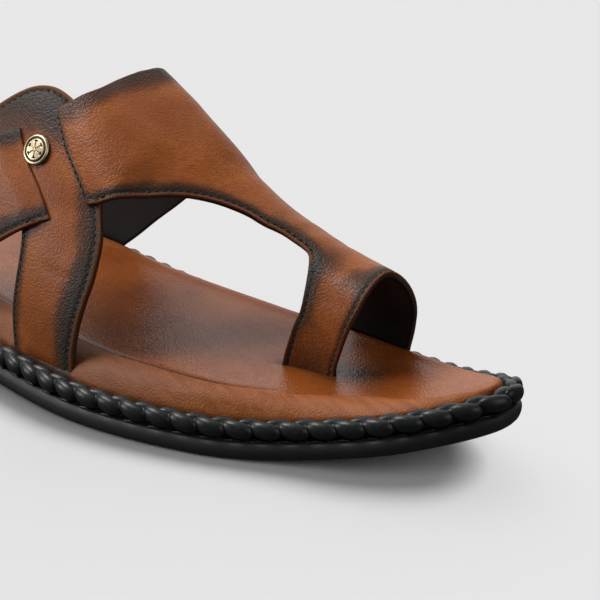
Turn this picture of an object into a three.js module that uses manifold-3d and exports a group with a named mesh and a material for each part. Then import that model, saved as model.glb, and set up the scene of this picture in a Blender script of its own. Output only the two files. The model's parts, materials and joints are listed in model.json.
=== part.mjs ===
// A right kolhapuri sandal with a toe ring, as five separate pieces.
// Millimetres. +X points to the toe, +Y to the inner side of the foot and +Z up.
// The origin is on the floor, on the heel-to-toe line at about half the length.

import * as THREE from 'three';
import Module from 'manifold-3d';
import { mergeVertices } from 'three/addons/utils/BufferGeometryUtils.js';

const GAP = 0.3;

// Sole edge seen from above, from the heel along the outer side to the toe and back along the inner side.
const OUTLINE = [
  // x, y
  [-144, -3], [-133, -26], [-107, -40], [-65, -46.5], [-20, -54], [26, -57.2],
  [68, -47.5], [106, -29], [131, -15.5], [150.5, 4.5], [146, 20], [119, 30],
  [81, 37.4], [40, 35.8], [-6, 34.8], [-52, 38.4], [-107, 35], [-133, 21],
];
const TOE_ROW = 9;
const STEPS_PER_ROW = 4;

// The toe turns up from SPRING_START, by TOE_SPRING at SPRING_END.
const SPRING_START = 65;
const SPRING_END = 142.5;
const TOE_SPRING = 14.4;

// The outsole's side, from the floor up to the ledge that carries the rope.
const SOLE_THICKNESS = 6.9;
const SOLE_SIDE = [
  // inset from the outline, z
  [2.8, 0], [1.3, 1.1], [0.7, 3.2], [0.8, 5.1], [1.7, 6.3], [2.8, SOLE_THICKNESS],
];
// The relief under the arch, on the inner side, which lifts the lowest rows of the side.
const ARCH = { rise: 1.6, from: -62, to: 18, clearOf: 6, full: 34, rows: 2 };

// The twisted rope round the edge.
const ROPE = { inset: 3.3, radius: 2.65, lobe: 0.5, lumps: 72, stepsPerLump: 4, sides: 8 };
const ROPE_Z = SOLE_THICKNESS + GAP + ROPE.radius + ROPE.lobe;

// The footbed's shoulder, where its sloping side turns into the top. Heights leave out the toe spring.
const FOOTBED_INSET = ROPE.inset + ROPE.radius + ROPE.lobe + GAP;
const FOOTBED_WALL_TOP = 12.4;
const FOOTBED_DISH = 1.6;
const SHOULDER = [
  // x, outer inset, outer z, inner inset, inner z
  [-145, 13.5, 19, 13.5, 19],
  [-60, 15, 19.6, 12.8, 19.3],
  [0, 16.6, 19.6, 12.6, 19.2],
  [40, 15.6, 19.8, 12.6, 19.1],
  [75, 12.8, 19.5, 12, 18.6],
  [95, 13.8, 17.8, 10.4, 17.3],
  [113, 14.6, 16.6, 9.6, 16.6],
  [128, 11.5, 15.4, 8.8, 15.4],
  [149, 8.6, 14.7, 8.6, 14.7],
];
const SIDE_CURVE = [
  // share of the way in, share of the way up
  [0.26, 0.5], [0.6, 0.85], [1, 1],
];

// The last under the straps, as cross-sections from the outer foot line over the ridge to the inner one.
const LAST = [
  // x, outer foot y, ridge y, ridge z, inner foot y, foot z, bulge, roundness
  [-100, -34.2, 2, 122, 28, 12, 0, 2.1],
  [-60, -40.2, 3, 118, 31.2, 12, 0, 2.1],
  [-30, -45.4, 4, 112, 29.8, 12, 0, 2.1],
  [0, -49.4, 6, 100, 27.6, 12, 0, 2.1],
  [15, -50, 6.5, 91, 27.8, 12, 0, 2.1],
  [30, -49.8, 6.5, 81, 28.4, 12, 0, 2.1],
  [42, -45, 6.3, 71.7, 29, 12.5, 0, 2.05],
  [54, -28, 6.8, 64.4, 29.6, 13, 0, 2.1],
  [64, -9, 8.3, 60.2, 30, 13, 1, 2.15],
  [74, -3, 9.8, 56.2, 30.3, 13, 3, 2.2],
  [86, -1, 12, 52.6, 29.9, 13.5, 4.5, 2.25],
  [98, 0, 13, 50.8, 28, 14, 5, 2.25],
];

// The leather pieces are flat patterns of x against turn. Turn runs over the last from 0 at the outer
// foot line and 50 on the ridge to 100 at the inner foot line, and a foot is tucked in past 0 or 100.
const LEATHER = 2.4;
const TUCK = 2.2;
const TUCK_DROP = 1.5;
const CELL = { x: 6, turn: 3.7 };
const PATTERN_MARGIN = 1;
const CURVE_STEPS = 2;

const PANEL_EDGES = [
  {
    name: 'end over the side panel',
    points: [[-11.5, 30.8], [-6.6, 29.1], [-0.9, 27], [7.3, 24.9], [13.5, 23.2]],
  },
  {
    name: 'lower edge',
    points: [
      [17.3, 24.6], [22.7, 27.6], [30.2, 31.9], [38.2, 37.3], [44.8, 40.7],
      [52.5, 42.5], [58.8, 41.4], [65.3, 40], [71.4, 39.3], [73.6, 36.4],
    ],
  },
  {
    name: 'back of the near ring leg',
    points: [
      [74.8, 32.1], [75.4, 26.7], [75.3, 21.5], [74.6, 17.4], [72.6, 13], [70.9, 8.6], [69.2, 3.9], [68.2, 0],
    ],
  },
  { name: 'near ring foot', points: [[68.2, -TUCK], [86.4, -TUCK]], straight: true },
  {
    name: 'front of the ring',
    points: [
      [86.4, 0], [87.3, 3.8], [90, 9.2], [93.1, 16.7], [95.9, 25.2], [96.6, 32], [96.8, 38.4], [96.4, 45],
      [96, 51], [96.4, 58], [98, 66], [99, 75], [98.8, 82.5], [96.8, 90.5], [94.2, 97], [93.5, 100],
    ],
  },
  { name: 'far ring foot', points: [[93.5, 100 + TUCK], [66, 100 + TUCK]], straight: true },
  { name: 'back of the far ring leg', points: [[66, 100], [69.5, 93], [71.5, 86], [71.2, 79], [67, 73]] },
  {
    name: 'inner edge',
    points: [
      [58, 70], [46, 70], [34, 73], [22, 77.5], [10, 82.5], [-2, 87.4],
      [-11.8, 90.9], [-23.8, 94.4], [-32.7, 96.8], [-40.8, 98.7], [-46, 100],
    ],
  },
  { name: 'inner leg foot', points: [[-47.5, 100 + TUCK], [-88, 100 + TUCK]], straight: true },
  {
    name: 'back edge',
    points: [
      [-86.5, 100], [-73, 93], [-56, 85.5], [-38, 78], [-22, 71.5], [-10, 66], [-3.3, 61.5],
      [0.8, 57], [1.5, 50], [-0.7, 43], [-2.1, 38.6], [-5.4, 35.2], [-7.7, 33.2], [-11.5, 30.8],
    ],
  },
];

const SIDE_PANEL_EDGES = [
  {
    name: 'front edge',
    points: [
      [-4, 33.9], [8, 31], [16, 26], [18.6, 23.6], [21.8, 20.6], [22.8, 17.5], [22.7, 14.1],
      [21.5, 11.3], [20, 8.3], [18.5, 5.2], [17.6, 2.6], [17.3, 0],
    ],
  },
  { name: 'foot', points: [[17.3, -TUCK], [-12.5, -TUCK]], straight: true },
  {
    name: 'back edge',
    points: [
      [-12.5, 0], [-13.1, 3], [-12.8, 5.5], [-11.7, 8], [-10.6, 11.4], [-11.5, 14.5],
      [-17, 17.5], [-28, 20], [-39, 22],
    ],
  },
  {
    name: 'rounded top',
    points: [
      [-39, 24.5], [-33.6, 27], [-27.5, 29.9], [-23.4, 31.7], [-19.4, 33],
      [-15, 33.9], [-9.5, 34.2], [-4, 33.9],
    ],
  },
];

const REAR_STRAP_EDGES = [
  { name: 'front end', points: [[-22, 25.3], [-17.5, 23.4], [-13.1, 21.9], [-6.2, 20.2], [1.3, 17.8]] },
  { name: 'lower edge', points: [[-8, 14.8], [-18.3, 11.7], [-30, 8.3], [-43, 4.3], [-54, 0]] },
  { name: 'foot', points: [[-56, -TUCK], [-94, -TUCK]], straight: true },
  {
    name: 'back edge',
    points: [[-94, 0], [-84, 6.5], [-68, 12.6], [-50, 18], [-36, 21.2], [-28, 23.2], [-22, 25.3]],
  },
];

// The panel and the rear strap lie on the side panel here, and step down to its level past the fade.
const PANEL_OVERLAP = { x: [20, 30], turn: [36, 44] };
const STRAP_OVERLAP = { x: [-52, -42] };

// The stud on the side panel, and its post through the leather.
const STUD = { x: -11.9, turn: 24.4, head: 5.5, post: 1.3, hole: 1.7 };
const STUD_PROFILE = [
  // radius, height over the leather
  [0, -LEATHER], [STUD.post, -LEATHER], [STUD.post, GAP], [5.3, GAP], [STUD.head, 0.8], [5.1, 1.5],
  [4.6, 1.6], [4.1, 1.1], [2.6, 1.5], [1.2, 1.8], [0, 1.9],
];
const STUD_SIDES = 24;

// What the stud takes out of the leather: its hole, and the strap's edge where the head sits against it.
const STUD_ROOM = [
  // radius, height over the leather
  [0, -2 * LEATHER], [STUD.hole, -2 * LEATHER], [STUD.hole, GAP / 2], [STUD.head + GAP, GAP / 2],
  [STUD.head + GAP, 2 * LEATHER], [0, 2 * LEATHER],
];

// Cells across the sole's floor and ledge, and across the footbed's base and top.
const ACROSS = { floor: 4, ledge: 2, base: 2, top: 8 };
const WELD = 1e-4;

const FINISH = {
  outsole: { color: 0x1c1c1c, roughness: 0.75, metalness: 0 },
  rope_rand: { color: 0x23271f, roughness: 0.45, metalness: 0 },
  footbed: { color: 0x7a4526, roughness: 0.5, metalness: 0 },
  upper: { color: 0x9a5426, roughness: 0.42, metalness: 0 },
  stud: { color: 0x8d7340, roughness: 0.35, metalness: 0.9 },
};

const wasm = await Module();
wasm.setup();

const { clamp, lerp, smoothstep } = THREE.MathUtils;

// Smooth value of a table's column at x, with no overshoot between its rows.
function column(table, k, x) {
  const last = table.length - 1;
  const slope = (i) => (table[i + 1][k] - table[i][k]) / (table[i + 1][0] - table[i][0]);
  const tangent = (i) => {
    if (i === 0) return slope(0);
    if (i === last) return slope(last - 1);
    const before = slope(i - 1);
    const after = slope(i);
    return before * after <= 0 ? 0 : (2 * before * after) / (before + after);
  };
  const at = clamp(x, table[0][0], table[last][0]);
  let i = 0;
  while (i < last - 1 && at > table[i + 1][0]) i += 1;
  const width = table[i + 1][0] - table[i][0];
  const s = (at - table[i][0]) / width;
  const rise = s * s * (3 - 2 * s);
  const start = s * (1 - s) * (1 - s) * width * tangent(i);
  const end = s * s * (s - 1) * width * tangent(i + 1);
  return lerp(table[i][k], table[i + 1][k], rise) + start + end;
}

function spring(x) {
  const s = Math.max(0, x - SPRING_START) / (SPRING_END - SPRING_START);
  return TOE_SPRING * s * s;
}

// The sole's edge as a loop of points, each with its inward direction.
function makeRim() {
  const curve = new THREE.CatmullRomCurve3(OUTLINE.map(([x, y]) => new THREE.Vector3(x, y, 0)), true);
  const count = OUTLINE.length * STEPS_PER_ROW;
  return Array.from({ length: count }, (_, i) => {
    const tangent = curve.getTangent(i / count);
    return { point: curve.getPoint(i / count), inward: new THREE.Vector3(-tangent.y, tangent.x, 0) };
  });
}

const rim = makeRim();
const toeIndex = TOE_ROW * STEPS_PER_ROW;

// A loop inside the rim. Each point's inset and z may depend on where it is and on which side.
function loopAt(place) {
  return rim.map(({ point, inward }, i) => {
    const { inset, z } = place(point.x, i > toeIndex);
    const p = point.clone().addScaledVector(inward, inset);
    return new THREE.Vector3(p.x, p.y, z + spring(p.x));
  });
}

// A closed body from loops stacked upward, with its two ends filled by rows of points across the loop.
function stack(loops, bottomFill, topFill) {
  const n = loops[0].length;
  const points = loops.flat();
  const index = [];
  const quad = (a, b, c, d) => index.push(a, b, c, a, c, d);
  for (let r = 0; r + 1 < loops.length; r += 1) {
    for (let i = 0; i < n; i += 1) {
      const j = (i + 1) % n;
      quad(r * n + i, r * n + j, (r + 1) * n + j, (r + 1) * n + i);
    }
  }
  const cover = (base, fill, flip) => {
    const row = (i) => {
      if (i === 0 || i === toeIndex) return Array(fill.across + 1).fill(base + i);
      const outer = points[base + i];
      const inner = points[base + n - i];
      const inside = Array.from({ length: fill.across - 1 }, (_, k) => {
        const v = (k + 1) / fill.across;
        const p = outer.clone().lerp(inner, v);
        p.z = fill.height(p, v, outer.z, inner.z);
        return points.push(p) - 1;
      });
      return [base + i, ...inside, base + n - i];
    };
    let here = row(0);
    for (let i = 0; i < toeIndex; i += 1) {
      const next = row(i + 1);
      for (let k = 0; k < fill.across; k += 1) {
        const corners = [here[k], next[k], next[k + 1], here[k + 1]];
        if (flip) corners.reverse();
        quad(...corners);
      }
      here = next;
    }
  };
  cover(0, bottomFill, true);
  cover((loops.length - 1) * n, topFill, false);
  const whole = [];
  for (let i = 0; i < index.length; i += 3) {
    const [a, b, c] = index.slice(i, i + 3);
    if (a !== b && b !== c && c !== a) whole.push(a, b, c);
  }
  const geometry = new THREE.BufferGeometry();
  geometry.setAttribute('position', new THREE.Float32BufferAttribute(points.flatMap((p) => [...p]), 3));
  geometry.setIndex(whole);
  return geometry;
}

function archRise(x, y) {
  const along = clamp((x - ARCH.from) / (ARCH.to - ARCH.from), 0, 1);
  return ARCH.rise * Math.sin(Math.PI * along) ** 2 * smoothstep(y, ARCH.clearOf, ARCH.full);
}

function makeOutsole() {
  const loops = SOLE_SIDE.map(([inset, z], row) => {
    const loop = loopAt(() => ({ inset, z }));
    if (row < ARCH.rows) loop.forEach((p) => { p.z += archRise(p.x, p.y); });
    return loop;
  });
  const floor = (p) => spring(p.x) + archRise(p.x, p.y);
  const ledge = (p) => SOLE_THICKNESS + spring(p.x);
  return stack(loops, { across: ACROSS.floor, height: floor }, { across: ACROSS.ledge, height: ledge });
}

function makeFootbed() {
  const shoulder = (x, isInner) => ({
    inset: column(SHOULDER, isInner ? 3 : 1, x),
    z: column(SHOULDER, isInner ? 4 : 2, x),
  });
  const foot = SOLE_THICKNESS + GAP;
  const wall = [foot, FOOTBED_WALL_TOP].map((z) => loopAt(() => ({ inset: FOOTBED_INSET, z })));
  const slope = SIDE_CURVE.map(([across, up]) => loopAt((x, isInner) => {
    const top = shoulder(x, isInner);
    return { inset: lerp(FOOTBED_INSET, top.inset, across), z: lerp(FOOTBED_WALL_TOP, top.z, up) };
  }));
  const dish = (p, v, outer, inner) => lerp(outer, inner, v) - FOOTBED_DISH * Math.sin(Math.PI * v);
  const base = (p) => foot + spring(p.x);
  const bottom = { across: ACROSS.base, height: base };
  return stack([...wall, ...slope], bottom, { across: ACROSS.top, height: dish });
}

// Two strands twist round each other, so the section is a two-lobed round that turns half way for each lump.
function makeRope() {
  const path = new THREE.CatmullRomCurve3(loopAt(() => ({ inset: ROPE.inset, z: ROPE_Z })), true);
  const steps = ROPE.lumps * ROPE.stepsPerLump;
  const centres = path.getSpacedPoints(steps).slice(0, steps);
  const positions = centres.flatMap((centre, i) => {
    const along = centres[(i + 1) % steps].clone().sub(centres[(i + steps - 1) % steps]).normalize();
    const out = new THREE.Vector3(along.y, -along.x, 0).normalize();
    const up = new THREE.Vector3().crossVectors(out, along);
    const twist = (2 * Math.PI * i) / ROPE.stepsPerLump;
    return Array.from({ length: ROPE.sides }, (_, j) => {
      const angle = (2 * Math.PI * j) / ROPE.sides;
      const r = ROPE.radius + ROPE.lobe * Math.cos(2 * angle + twist);
      const p = centre.clone().addScaledVector(out, r * Math.cos(angle));
      return [...p.addScaledVector(up, r * Math.sin(angle))];
    }).flat();
  });
  const index = [];
  for (let i = 0; i < steps; i += 1) {
    for (let j = 0; j < ROPE.sides; j += 1) {
      const a = i * ROPE.sides + j;
      const b = i * ROPE.sides + ((j + 1) % ROPE.sides);
      const c = ((i + 1) % steps) * ROPE.sides + ((j + 1) % ROPE.sides);
      const d = ((i + 1) % steps) * ROPE.sides + j;
      index.push(a, d, c, a, c, b);
    }
  }
  const geometry = new THREE.BufferGeometry();
  geometry.setAttribute('position', new THREE.Float32BufferAttribute(positions, 3));
  geometry.setIndex(index);
  return geometry;
}

// A point on the last's outside at x and turn.
function lastPoint(x, turn) {
  const [outerY, ridgeY, ridgeZ, innerY, footZ, bulge, roundness] = [1, 2, 3, 4, 5, 6, 7]
    .map((k) => column(LAST, k, x));
  const angle = (Math.PI * clamp(turn, 0, 100)) / 100;
  const across = Math.abs(Math.cos(angle)) ** (2 / roundness);
  const up = Math.max(0, Math.sin(angle)) ** (2 / roundness);
  const beyond = Math.max(0, -turn, turn - 100);
  const isOuter = turn < 50;
  const y = isOuter
    ? ridgeY - (ridgeY - outerY) * across - bulge * Math.sin(2 * angle)
    : ridgeY + (innerY - ridgeY) * across;
  return new THREE.Vector3(x, y, footZ + (ridgeZ - footZ) * up - TUCK_DROP * beyond);
}

function lastNormal(x, turn) {
  const reach = 0.6;
  const at = clamp(turn, reach, 100 - reach);
  const alongX = lastPoint(x + reach, at).sub(lastPoint(x - reach, at));
  const alongTurn = lastPoint(x, at + reach).sub(lastPoint(x, at - reach));
  return alongTurn.cross(alongX).normalize().negate();
}

// A flat sheet of cells with a bottom and a top height that may vary over it.
function flatSheet(low, high, heights) {
  const size = new THREE.Vector2().subVectors(high, low);
  const cells = [Math.ceil(size.x / CELL.x), Math.ceil(size.y / CELL.turn)];
  const sheet = new THREE.BoxGeometry(size.x, size.y, 1, ...cells, 1);
  sheet.translate(low.x + size.x / 2, low.y + size.y / 2, 0);
  const position = sheet.attributes.position;
  for (let i = 0; i < position.count; i += 1) {
    const [bottom, top] = heights(position.getX(i), position.getY(i));
    position.setZ(i, position.getZ(i) < 0 ? bottom : top);
  }
  return sheet;
}

function patternShape(edges, tuckMore) {
  const shape = new THREE.Shape();
  const place = ([x, turn], straight) => {
    if (!straight) return new THREE.Vector2(x, turn);
    return new THREE.Vector2(x, turn < 50 ? turn - tuckMore : turn + tuckMore);
  };
  edges.forEach(({ points, straight }, i) => {
    const [first, ...others] = points.map((p) => place(p, straight));
    if (i === 0) shape.moveTo(first.x, first.y);
    else if (shape.currentPoint.distanceTo(first) > 0) shape.lineTo(first.x, first.y);
    if (straight) others.forEach((p) => shape.lineTo(p.x, p.y));
    else shape.splineThru(others);
  });
  return shape;
}

function toSolid(geometry) {
  const plain = geometry.clone();
  plain.deleteAttribute('normal');
  plain.deleteAttribute('uv');
  const merged = mergeVertices(plain, WELD);
  return new wasm.Manifold(new wasm.Mesh({
    numProp: 3,
    vertProperties: new Float32Array(merged.attributes.position.array),
    triVerts: new Uint32Array(merged.index.array),
  }));
}

function toGeometry(solid) {
  const mesh = solid.getMesh();
  const geometry = new THREE.BufferGeometry();
  geometry.setAttribute('position', new THREE.BufferAttribute(new Float32Array(mesh.vertProperties), 3));
  geometry.setIndex(new THREE.BufferAttribute(new Uint32Array(mesh.triVerts), 1));
  return geometry;
}

// Cuts a pattern from a flat sheet. Grow thickens it on both faces and tucks its feet in deeper.
function cutPattern(edges, lift, grow) {
  const shape = patternShape(edges, grow);
  const box = new THREE.Box2().setFromPoints(patternShape(edges, GAP).getPoints(CURVE_STEPS));
  box.expandByScalar(PATTERN_MARGIN);
  const sheet = flatSheet(box.min, box.max, (x, turn) => {
    const raised = lift(x, turn) * LEATHER;
    return [raised - LEATHER - grow, raised + grow];
  });
  const depth = 6 * LEATHER;
  const cutter = new THREE.ExtrudeGeometry(shape, { depth, bevelEnabled: false, curveSegments: CURVE_STEPS });
  cutter.translate(0, 0, -depth / 2);
  return toSolid(sheet).intersect(toSolid(cutter));
}

function panelLift(x, turn) {
  return (1 - smoothstep(x, ...PANEL_OVERLAP.x)) * (1 - smoothstep(turn, ...PANEL_OVERLAP.turn));
}

const strapLift = (x) => smoothstep(x, ...STRAP_OVERLAP.x);

// All the straps in the flat, joined, then bent over the last. Shift moves them along x.
function makeStraps(grow, shift) {
  const flat = cutPattern(PANEL_EDGES, panelLift, grow)
    .add(cutPattern(SIDE_PANEL_EDGES, () => 0, grow))
    .add(cutPattern(REAR_STRAP_EDGES, strapLift, grow));
  const geometry = toGeometry(flat);
  const position = geometry.attributes.position;
  for (let i = 0; i < position.count; i += 1) {
    const [x, turn, height] = [position.getX(i), position.getY(i), position.getZ(i)];
    const p = lastPoint(x, turn).addScaledVector(lastNormal(x, turn), height);
    position.setXYZ(i, p.x + shift, p.y, p.z);
  }
  return geometry;
}

// Turns +Z to the leather's outward direction at the stud.
function placeAtStud(geometry) {
  const turned = new THREE.Quaternion().setFromUnitVectors(
    new THREE.Vector3(0, 0, 1),
    lastNormal(STUD.x, STUD.turn),
  );
  geometry.applyQuaternion(turned);
  geometry.translate(...lastPoint(STUD.x, STUD.turn));
  return geometry;
}

function turnAtStud(profile) {
  const turned = new THREE.LatheGeometry(profile.map((p) => new THREE.Vector2(...p)), STUD_SIDES);
  return placeAtStud(turned.rotateX(Math.PI / 2));
}

function makeUpper() {
  return toGeometry(toSolid(makeStraps(0, 0)).subtract(toSolid(turnAtStud(STUD_ROOM))));
}

// The footbed with pockets for the strap feet, a gap wider than the leather all round.
function makePocketedFootbed() {
  let body = toSolid(makeFootbed());
  for (const shift of [-GAP, GAP]) body = body.subtract(toSolid(makeStraps(GAP, shift)));
  return toGeometry(body);
}

function makePiece(name, geometry) {
  const flat = geometry.index ? geometry.toNonIndexed() : geometry;
  flat.computeVertexNormals();
  const mesh = new THREE.Mesh(flat, new THREE.MeshStandardMaterial(FINISH[name]));
  mesh.name = name;
  return mesh;
}

const sandal = new THREE.Group();
sandal.add(
  makePiece('outsole', makeOutsole()),
  makePiece('rope_rand', makeRope()),
  makePiece('footbed', makePocketedFootbed()),
  makePiece('upper', makeUpper()),
  makePiece('stud', turnAtStud(STUD_PROFILE)),
);

export default sandal;
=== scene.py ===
import json
import math

import bpy
import numpy as np
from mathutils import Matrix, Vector
from mathutils.geometry import delaunay_2d_cdt

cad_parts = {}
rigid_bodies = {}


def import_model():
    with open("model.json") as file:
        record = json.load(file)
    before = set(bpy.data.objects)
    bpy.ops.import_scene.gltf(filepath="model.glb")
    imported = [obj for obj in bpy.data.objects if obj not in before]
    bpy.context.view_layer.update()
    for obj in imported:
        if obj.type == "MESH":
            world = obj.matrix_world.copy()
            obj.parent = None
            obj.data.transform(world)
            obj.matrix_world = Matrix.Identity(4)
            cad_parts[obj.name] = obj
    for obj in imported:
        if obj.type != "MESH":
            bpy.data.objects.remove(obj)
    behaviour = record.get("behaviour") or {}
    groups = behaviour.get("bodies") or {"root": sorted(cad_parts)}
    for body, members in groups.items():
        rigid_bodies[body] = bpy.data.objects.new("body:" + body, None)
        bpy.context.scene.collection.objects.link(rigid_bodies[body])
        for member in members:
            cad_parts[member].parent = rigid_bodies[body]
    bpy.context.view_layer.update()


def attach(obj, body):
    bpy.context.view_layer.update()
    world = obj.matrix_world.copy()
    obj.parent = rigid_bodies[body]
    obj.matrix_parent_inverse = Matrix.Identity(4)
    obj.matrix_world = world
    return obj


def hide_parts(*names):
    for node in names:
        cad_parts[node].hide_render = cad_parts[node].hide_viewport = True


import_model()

bl_info = {
    "name": "Kolhapuri sandal",
    "version": (1, 0, 0),
    "blender": (4, 5, 0),
    "location": "3D View > Sidebar > Sandal",
    "description": "Dresses a right kolhapuri sandal: straps, footbed, rope, sole and stud",
    "category": "Object",
}

# Lengths in the tables are millimetres. X points to the toe, Y to the inner side and Z up.
MM = 0.001

# The sole's edge from above, from the heel along the outer side to the toe and back along the inner side.
OUTLINE = [
    # x, y
    (-144, -3), (-133, -26), (-107, -40), (-65, -46.5), (-20, -54), (26, -57.2),
    (68, -47.5), (106, -29), (131, -15.5), (150.5, 4.5), (146, 20), (119, 30),
    (81, 37.4), (40, 35.8), (-6, 34.8), (-52, 38.4), (-107, 35), (-133, 21),
]
TOE_ROW = 9
SPRING = {"start": 65, "end": 142.5, "rise": 14.4}
ARCH = {"rise": 1.6, "from": -62, "to": 18, "clear_of": 6, "full": 34}
SOLE_THICKNESS = 6.9
ROPE_INSET = 3.3
ROPE_Z = 10.35
LEDGE_GAP = 0.3

FOOTBED_INSET = 6.75
FOOTBED_WALL_TOP = 12.4
FOOTBED_DISH = 1.6
SHOULDER = [
    # x, outer inset, outer z, inner inset, inner z
    (-145, 13.5, 19, 13.5, 19),
    (-60, 15, 19.6, 12.8, 19.3),
    (0, 16.6, 19.6, 12.6, 19.2),
    (40, 15.6, 19.8, 12.6, 19.1),
    (75, 12.8, 19.5, 12, 18.6),
    (95, 13.8, 17.8, 10.4, 17.3),
    (113, 14.6, 16.6, 9.6, 16.6),
    (128, 11.5, 15.4, 8.8, 15.4),
    (149, 8.6, 14.7, 8.6, 14.7),
]
SIDE_CURVE = [
    # share of the way in, share of the way up
    (0, 0), (0.09, 0.2), (0.26, 0.5), (0.43, 0.7), (0.6, 0.85), (0.8, 0.95), (1, 1),
]

# The last under the straps, as sections from the outer foot line over the ridge to the inner one.
LAST = [
    # x, outer foot y, ridge y, ridge z, inner foot y, foot z, bulge, roundness
    (-100, -34.2, 2, 122, 28, 12, 0, 2.1),
    (-60, -40.2, 3, 118, 31.2, 12, 0, 2.1),
    (-30, -45.4, 4, 112, 29.8, 12, 0, 2.1),
    (0, -49.4, 6, 100, 27.6, 12, 0, 2.1),
    (15, -50, 6.5, 91, 27.8, 12, 0, 2.1),
    (30, -49.8, 6.5, 81, 28.4, 12, 0, 2.1),
    (42, -45, 6.3, 71.7, 29, 12.5, 0, 2.05),
    (54, -28, 6.8, 64.4, 29.6, 13, 0, 2.1),
    (64, -9, 8.3, 60.2, 30, 13, 1, 2.15),
    (74, -3, 9.8, 56.2, 30.3, 13, 3, 2.2),
    (86, -1, 12, 52.6, 29.9, 13.5, 4.5, 2.25),
    (98, 0, 13, 50.8, 28, 14, 5, 2.25),
]
TUCK = 2.2
TUCK_DROP = 1.5

# Flat patterns of x against turn: 0 at the outer foot line, 50 on the ridge and 100 at the inner foot line.
# Dye is how far in from the edge the dark dye reaches and how strong it is, at even steps along it.
# Margin is where the stitches run, raw the width left undyed at the cut, and skive how far the end is
# thinned down.
PANEL = [
    {
        "edge": "end over the side panel", "dye": [(3, 0.35)], "margin": 0.9, "skive": 0.6,
        "points": [(-11.5, 30.8), (-6.6, 29.1), (-0.9, 27), (7.3, 24.9), (13.5, 23.2)],
    },
    {
        "edge": "lower edge", "margin": 1.6, "raw": 0.9,
        "dye": [(5.5, 0.9), (5, 0.95), (4.5, 0.85), (5, 0.7)],
        "points": [
            (17.3, 24.6), (22.7, 27.6), (30.2, 31.9), (38.2, 37.3), (44.8, 40.7),
            (52.5, 42.5), (58.8, 41.4), (65.3, 40), (71.4, 39.3), (73.6, 36.4),
        ],
    },
    {
        "edge": "back of the near ring leg", "margin": 1.7,
        "dye": [(5.5, 0.75), (5, 0.6), (3, 0.3), (2.5, 0.2)],
        "points": [
            (74.8, 32.1), (75.4, 26.7), (75.3, 21.5), (74.6, 17.4),
            (72.6, 13), (70.9, 8.6), (69.2, 3.9), (68.2, 0),
        ],
    },
    {"edge": "near ring foot", "foot": True, "points": [(68.2, -TUCK), (86.4, -TUCK)]},
    {
        "edge": "front of the ring", "margin": 1.3, "raw": 0.55,
        "dye": [(2, 0.05), (2.5, 0.2), (5, 0.65), (5, 0.75), (5, 0.7), (5, 0.7)],
        "points": [
            (86.4, 0), (87.3, 3.8), (90, 9.2), (93.1, 16.7),
            (95.9, 25.2), (96.6, 32), (96.8, 38.4), (96.4, 45),
            (96, 51), (96.4, 58), (98, 66), (99, 75), (98.8, 82.5), (96.8, 90.5), (94.2, 97), (93.5, 100),
        ],
    },
    {"edge": "far ring foot", "foot": True, "points": [(93.5, 100 + TUCK), (66, 100 + TUCK)]},
    {
        "edge": "back of the far ring leg", "dye": [(5, 0.7)], "margin": 1.7,
        "points": [(66, 100), (69.5, 93), (71.5, 86), (71.2, 79), (67, 73)],
    },
    {
        "edge": "inner edge", "dye": [(6, 0.8), (8, 1.0), (8, 1.0)], "margin": 1.6, "raw": 1.05,
        "points": [
            (58, 70), (46, 70), (34, 73), (22, 77.5), (10, 82.5), (-2, 87.4),
            (-11.8, 90.9), (-23.8, 94.4), (-32.7, 96.8), (-40.8, 98.7), (-46, 100),
        ],
    },
    {"edge": "inner leg foot", "foot": True, "points": [(-47.5, 100 + TUCK), (-88, 100 + TUCK)]},
    {
        "edge": "back edge", "dye": [(9, 0.65), (9, 0.65), (9, 0.7), (10, 0.75), (10, 0.75), (8, 0.5)],
        "points": [
            (-86.5, 100), (-73, 93), (-56, 85.5), (-38, 78), (-22, 71.5), (-10, 66), (-3.3, 61.5),
            (0.8, 57), (1.5, 50), (-0.7, 43), (-2.1, 38.6), (-5.4, 35.2), (-7.7, 33.2), (-11.5, 30.8),
        ],
    },
]
SIDE_PANEL = [
    {
        "edge": "front edge", "margin": 2.1, "raw": 0.7,
        "dye": [(6, 0.6), (9, 0.8), (11, 0.9), (11, 0.9), (9, 0.8)],
        "points": [
            (-4, 33.9), (8, 31), (16, 26), (18.6, 23.6), (21.8, 20.6), (22.8, 17.5), (22.7, 14.1),
            (21.5, 11.3), (20, 8.3), (18.5, 5.2), (17.6, 2.6), (17.3, 0),
        ],
    },
    {"edge": "foot", "foot": True, "points": [(17.3, -TUCK), (-12.5, -TUCK)]},
    {
        "edge": "back edge", "dye": [(5, 0.5), (5.5, 0.7), (6, 0.8)], "margin": 1.3,
        "points": [
            (-12.5, 0), (-13.1, 3), (-12.8, 5.5), (-11.7, 8), (-10.6, 11.4), (-11.5, 14.5),
            (-17, 17.5), (-28, 20), (-39, 22),
        ],
    },
    {
        "edge": "rounded top", "dye": [(19, 0.6), (19, 0.6), (17, 0.6)], "margin": 1.8, "raw": 1.1,
        "points": [
            (-39, 24.5), (-33.6, 27), (-27.5, 29.9), (-23.4, 31.7), (-19.4, 33),
            (-15, 33.9), (-9.5, 34.2), (-4, 33.9),
        ],
    },
]
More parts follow.
